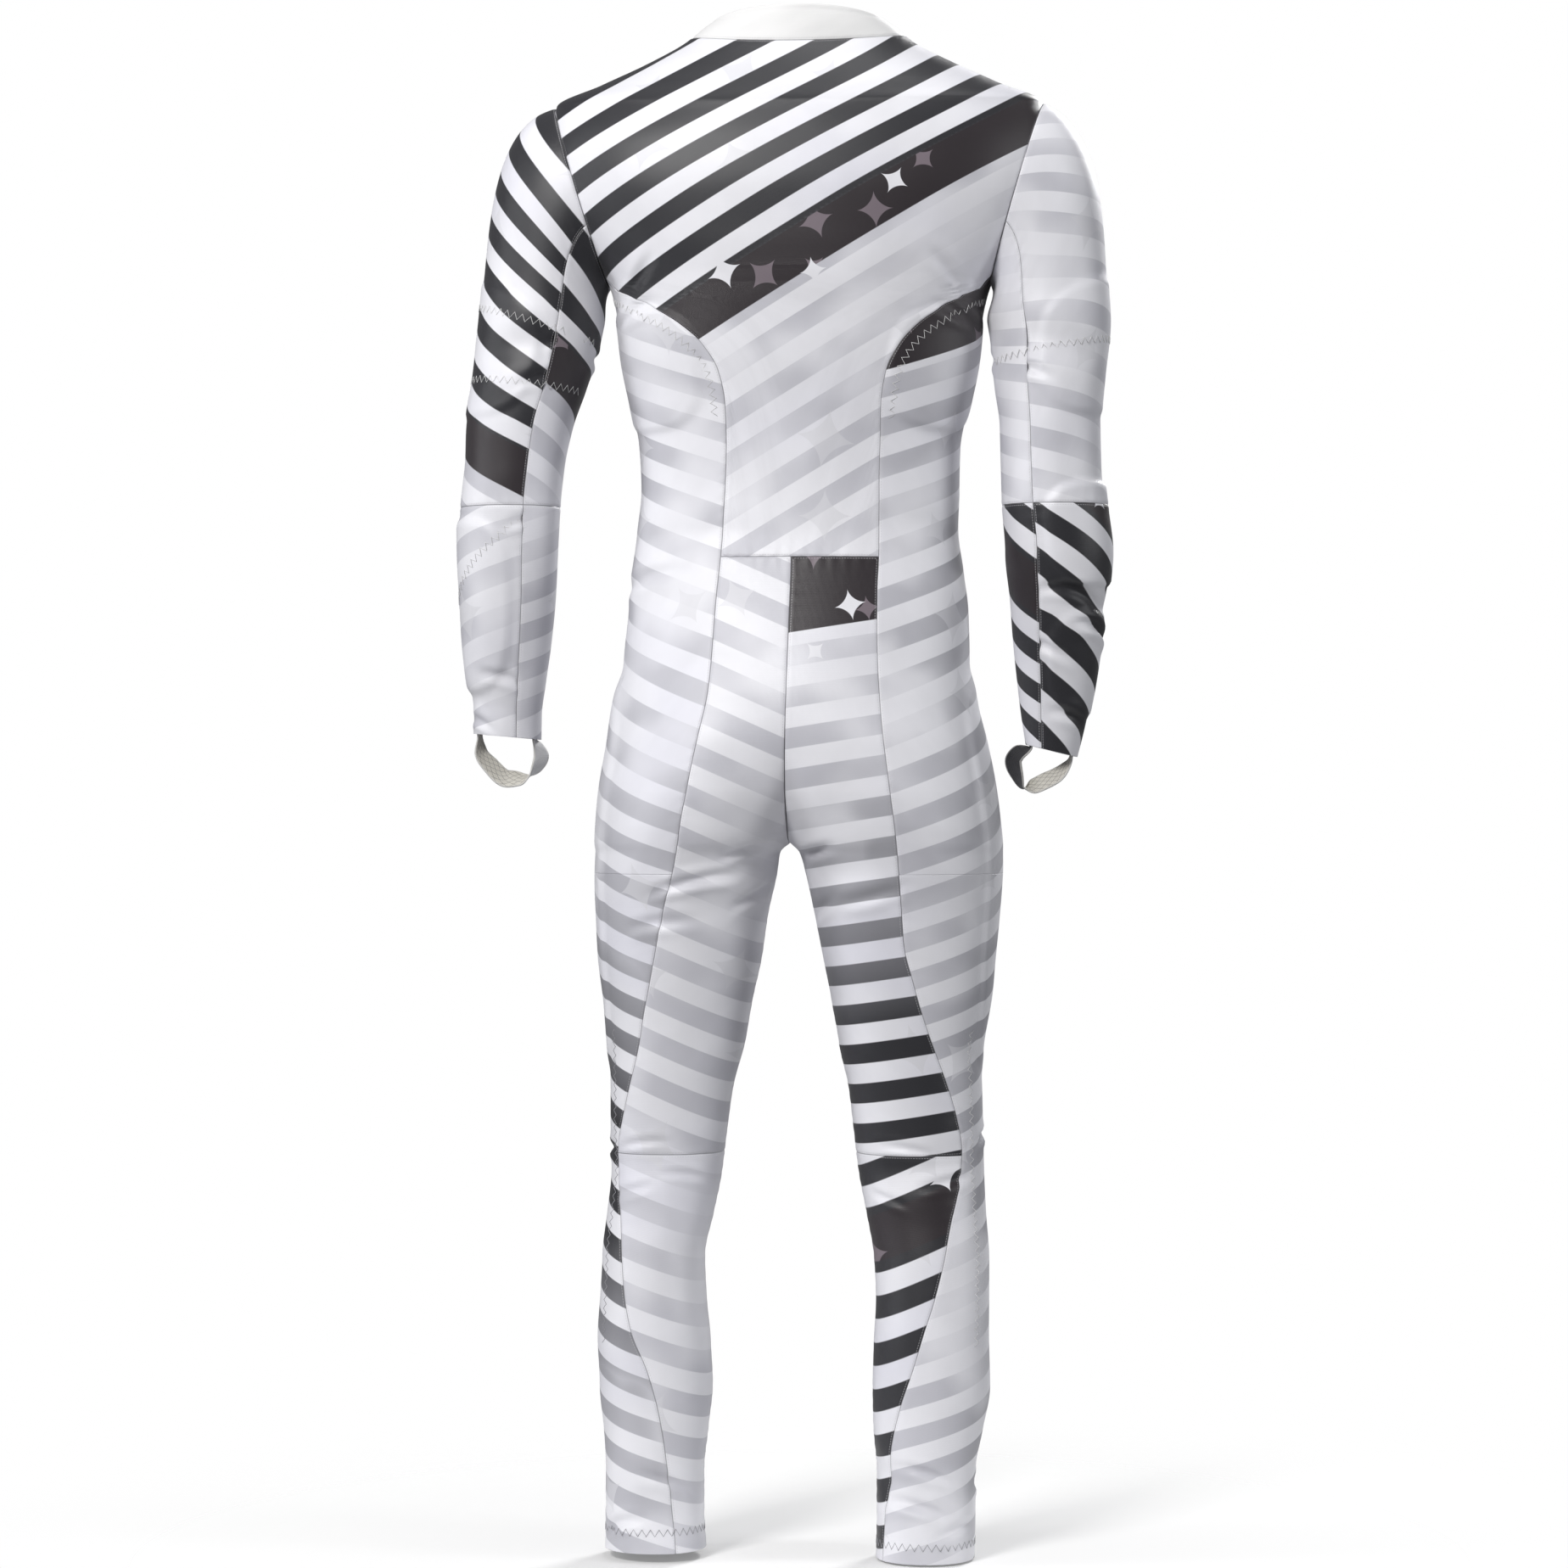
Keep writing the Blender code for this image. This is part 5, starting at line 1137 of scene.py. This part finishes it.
def elastic(name, lined):
    # Ribs across the strap. The inner face has a net of thin dark lines that cross as diamonds.
    material, tree, shader = newMaterial(name, 0.62, 0.15)
    place = uvPlace(tree)
    split = put(tree, "ShaderNodeSeparateXYZ", {0: place})
    weave = useGroup(tree, knit, {"Place": place, "Wale": 0.0011, "Course": 0.0024})
    if lined:
        lines = []
        for way in (1.0, -1.0):
            along = calc(tree, "DIVIDE", split.outputs[0], 0.0088)
            crossing = calc(tree, "MULTIPLY_ADD", calc(tree, "DIVIDE", split.outputs[1], 0.0052), way, along)
            lines.append(ramp(tree, calc(tree, "PINGPONG", crossing, 0.5), 0.065, 0.035))
        net = calc(tree, "MULTIPLY", calc(tree, "MAXIMUM", *lines), 0.65)
        base = mix(tree, net, loopColours["inside"], loopColours["net"])
    else:
        part = ramp(tree, attribute(tree, "darkPart"), 0.45, 0.55)
        base = mix(tree, part, loopColours["outside"], loopColours["darkPart"])
    fromMiddle = calc(tree, "ABSOLUTE", calc(tree, "SUBTRACT", split.outputs[1], 0.01))
    edge = calc(tree, "MULTIPLY", ramp(tree, fromMiddle, 0.0083, 0.0089), 0.7)
    base = mix(tree, edge, base, loopColours["edge"])
    tree.links.new(toned(tree, base, weave), shader.inputs["Base Color"])
    bump(tree, shader, weave.outputs["Height"], 0.6, 0.0003)
    return material


loopMaterials = (elastic("loopOutside", False), elastic("loopInside", True), elastic("loopRim", False))


def handLoop(side):
    # A flat strap carried along a smooth line through the rows, leaning as they say, bowed at its ends.
    rows = np.array(loopShape[side], float)
    length = np.concatenate([[0], np.cumsum(np.linalg.norm(np.diff(rows[:, :3], axis=0), axis=1))])
    at = np.linspace(0, length[-1], loopShape["steps"] + 1)
    x, y, below, lean = (smoothTable(length, rows[:, k], at) for k in range(4))
    last = armRows[side][-1]
    line = np.stack([side * last[1] + x, last[3] + y, -(last[0] + below)], axis=-1)
    way = np.gradient(line, axis=0) * (1, 0, 1)
    soft = np.pad(way, ((4, 4), (0, 0)), mode="edge")
    way = sum(soft[k:k + len(way)] for k in range(9))
    way = way / np.linalg.norm(way, axis=1, keepdims=True)
    into = np.stack([-way[:, 2], np.zeros(len(way)), way[:, 0]], axis=-1)
    lean = np.radians(lean)[:, None]
    wide = np.cos(lean) * np.array([0, 1.0, 0]) + np.sin(lean) * into
    face = np.cos(lean) * into - np.sin(lean) * np.array([0, 1.0, 0])
    ends = np.clip(1 - np.minimum(at, length[-1] - at) / 16, 0, 1)[:, None, None]
    share = np.linspace(-0.5, 0.5, loopShape["columns"])[None, :, None]
    line, wide, face = line[:, None], wide[:, None], face[:, None]
    bow = loopShape["bow"][side] * (1 - (2 * share) ** 2) * ends
    middle = line + wide * share * loopShape["width"] - face * bow
    thin = loopShape["wall"] / 2 * (1 - 0.35 * np.abs(2 * share) ** 8)
    outer, inner = middle - face * thin, middle + face * thin
    flat = np.stack(np.meshgrid(at, (share[0, :, 0] + 0.5) * loopShape["width"], indexing="ij"), axis=-1) * mm
    dark = np.zeros(outer.shape[:2])
    if side == right:
        dark[at < 0.52 * length[-1]] = 1.0
    piece = shell("handLoop_" + sideNames[side], outer, inner, flat, {"darkPart": dark}, loopMaterials)
    declareCloth(piece, "hand_loop_" + sideNames[side])


handLoop(left)
handLoop(right)

print("stage: zigzag stitching")
threadLook = {"half": 3.3, "pitch": 8.2, "radius": 0.36, "rise": 0.1}
outerFrom, outerTo, outerStep = 950, 1255, 15  # drops of the rows down the legs' outer sides
# Limb, side, (angle in degrees, drop) along each row of stitches, and whether its thread is white.
threadRows = (
    ("arm", left, ((-160, 281), (-110, 277), (-60, 275), (0, 274), (40, 276)), True),
    ("arm", left, ((-160, 336), (-110, 334), (-60, 333), (0, 334), (40, 338)), True),
    ("arm", right, ((-160, 306), (-110, 304), (-60, 303), (0, 302), (40, 304)), True),
    ("arm", left, ((5, 546), (-20, 531), (-60, 498), (-110, 462), (-118, 457)), True),
    ("body", left, tuple((a, 1426) for a in range(-90, 271, 15)), False),
    ("body", right, tuple((a, 1437) for a in range(-90, 271, 15)), False),
    ("body", right, tuple((58 - (d - outerFrom) * 0.02, d) for d in range(outerFrom, outerTo, outerStep)), True),
    ("body", left, tuple((60 - (d - outerFrom) * 0.02, d) for d in range(outerFrom, outerTo, outerStep)), False),
)


def zigzag(limb, side, path):
    # Straight stitches that cross a line on the cloth from side to side, as a four-sided thread.
    angle, drop = (np.array(values, float) for values in zip(*path))
    fine = np.linspace(0, len(path) - 1, 60 * len(path))
    steps = np.arange(len(path))
    angle = np.radians(smoothTable(steps, angle, fine))
    drop = smoothTable(steps, drop, fine)
    line, n = skin(limb, side, angle, drop)
    length = np.concatenate([[0], np.cumsum(np.linalg.norm(np.diff(line, axis=0), axis=1))])
    at = np.arange(0, length[-1], threadLook["pitch"] / 2)
    line = np.stack([np.interp(at, length, line[:, k]) for k in range(3)], axis=1)
    n = np.stack([np.interp(at, length, n[:, k]) for k in range(3)], axis=1)
    along = np.gradient(line, axis=0)
    aside = np.cross(n, along)
    aside = aside / np.linalg.norm(aside, axis=1, keepdims=True)
    turn = np.where(np.arange(len(at)) % 2 == 0, 1.0, -1.0)[:, None]
    line = line + aside * turn * threadLook["half"] + n * threadLook["rise"]
    thick = threadLook["radius"]
    flat = aside * thick * 1.3
    ring = np.stack([line + n * thick, line + flat, line - n * thick, line - flat], axis=1)
    index = np.arange(len(line) * 4).reshape(-1, 4)
    after = np.roll(index, -1, axis=1)
    faces = np.stack([index[:-1], after[:-1], after[1:], index[1:]], axis=-1).reshape(-1, 4)
    faces = np.concatenate([faces, index[:1, ::-1], index[-1:]])
    coords = ring.reshape(-1, 3)
    return coords, outwards(coords - coords.mean(axis=0), faces)


def armpitPath(side):
    # Eleven millimetres outside the seam between the back and the side panel.
    drops = np.linspace(244, 372, 15)
    x = smoothTable(seamRows[:, 0], seamRows[:, 1 if side == left else 2], drops)
    slope = np.gradient(x, drops)
    size = np.sqrt(1 + slope**2)
    outside = 11
    atX, atDrop = x + outside / size, drops - outside * slope / size
    return tuple(zip(np.degrees(angleAtX(side, atDrop, atX)), atDrop))


def threadMaterial(name, colour):
    material, tree, shader = newMaterial(name, 0.5, 0.1)
    darker = tuple(0.7 * value for value in colour[:3]) + (1,)
    mottle(tree, shader, noise(tree, objectPlace(tree), 1500.0, 1.0), darker, colour)
    return material


armpits = [("body", side, armpitPath(side), True) for side in (left, right)]
for name, colour, wanted in (("White", (0.82, 0.82, 0.82, 1), True), ("Grey", (0.42, 0.42, 0.45, 1), False)):
    start, coords, faces = 0, [], []
    for limb, side, path, white in (*threadRows, *armpits):
        if white == wanted:
            rowCoords, quads = zigzag(limb, side, path)
            coords.append(rowCoords)
            faces.append(quads + start)
            start += len(rowCoords)
    material = threadMaterial("thread" + name, colour)
    piece = plainMesh("stitches_" + name.lower(), np.concatenate(coords), np.concatenate(faces), material, True)
    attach(piece, "suit")

print("stage: floor, light and camera")
studio = {"floorBelow": 0.002, "floorSize": 6.0, "background": 1.0, "ambient": 0.16,
          "target": (-0.0155, 0.0, -0.716), "azimuth": 4, "distance": 4.2, "span": 1.508, "sensor": 36.0,
          "lightsAim": (0, 0, -0.7)}


def areaLight(name, place, size, energy, colour=(1, 1, 1)):
    lamp = bpy.data.lights.new(name, "AREA")
    lamp.shape = "RECTANGLE"
    lamp.size, lamp.size_y = size
    lamp.energy = energy
    lamp.color = colour
    made = intoScene(name, lamp)
    made.location = place
    aim = Vector(studio["lightsAim"]) - Vector(place)
    made.rotation_euler = aim.to_track_quat("-Z", "Y").to_euler()


areaLight("keyLight", (-1.5, -3.2, 1.2), (1.0, 1.0), 112, (1.0, 0.99, 0.98))
areaLight("leftRim", (-3.4, -0.9, 0.0), (0.7, 2.4), 34, (0.97, 0.98, 1.0))
areaLight("rightRim", (3.4, -0.9, 0.0), (0.7, 2.4), 30, (0.97, 0.98, 1.0))
areaLight("topLight", (0.1, -0.2, 2.2), (1.2, 1.2), 22)
areaLight("frontKey", (1.5, 3.2, 1.2), (1.0, 1.0), 112)

half = studio["floorSize"]
floorZ = cadBox[0][2] - studio["floorBelow"]
mesh = bpy.data.meshes.new("paleFloor")
corners = ((-half, -half), (half, -half), (half, half), (-half, half))
mesh.from_pydata([(x, y, floorZ) for x, y in corners], [], [(0, 1, 2, 3)])
floor = intoScene("paleFloor", mesh)
material, tree, shader = newMaterial("paleFloor", 0.9, 0.0)
shader.inputs["Base Color"].default_value = (0.9, 0.9, 0.9, 1)
flat = vector(tree, "MULTIPLY", objectPlace(tree), (1.0, 1.0, 0.0))
distance = put(tree, "ShaderNodeVectorMath", {0: flat}, operation="LENGTH").outputs["Value"]
tree.links.new(ramp(tree, distance, 0.15, 0.95, 0.8, 0.0), shader.inputs["Alpha"])
mesh.materials.append(material)
floor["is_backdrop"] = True

world = bpy.data.worlds.new("studio")
bpy.context.scene.world = world
world.use_nodes = True
tree = world.node_tree
tree.nodes.clear()
seen = put(tree, "ShaderNodeBackground", {"Color": (1, 1, 1, 1), "Strength": studio["background"]})
lit = put(tree, "ShaderNodeBackground", {"Color": (0.98, 0.985, 1, 1), "Strength": studio["ambient"]})
path = put(tree, "ShaderNodeLightPath")
both = put(tree, "ShaderNodeMixShader", {0: path.outputs["Is Camera Ray"], 1: lit.outputs[0], 2: seen.outputs[0]})
tree.links.new(both.outputs[0], put(tree, "ShaderNodeOutputWorld").inputs[0])
bpy.context.scene.view_settings.view_transform = "Standard"

lens = bpy.data.cameras.new("camera")
lens.sensor_width = studio["sensor"]
lens.lens = studio["sensor"] * studio["distance"] / studio["span"]
camera = intoScene("camera", lens)
turn = math.radians(studio["azimuth"])
target = Vector(studio["target"])
camera.location = target + Vector((math.sin(turn), -math.cos(turn), 0)) * studio["distance"]
camera.rotation_euler = (target - camera.location).to_track_quat("-Z", "Y").to_euler()
bpy.context.scene.camera = camera

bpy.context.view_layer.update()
meshes = [piece.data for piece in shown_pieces() if piece.type == "MESH"]
print(f"stage: done, {sum(len(mesh.loops) - 2 * len(mesh.polygons) for mesh in meshes)} triangles")
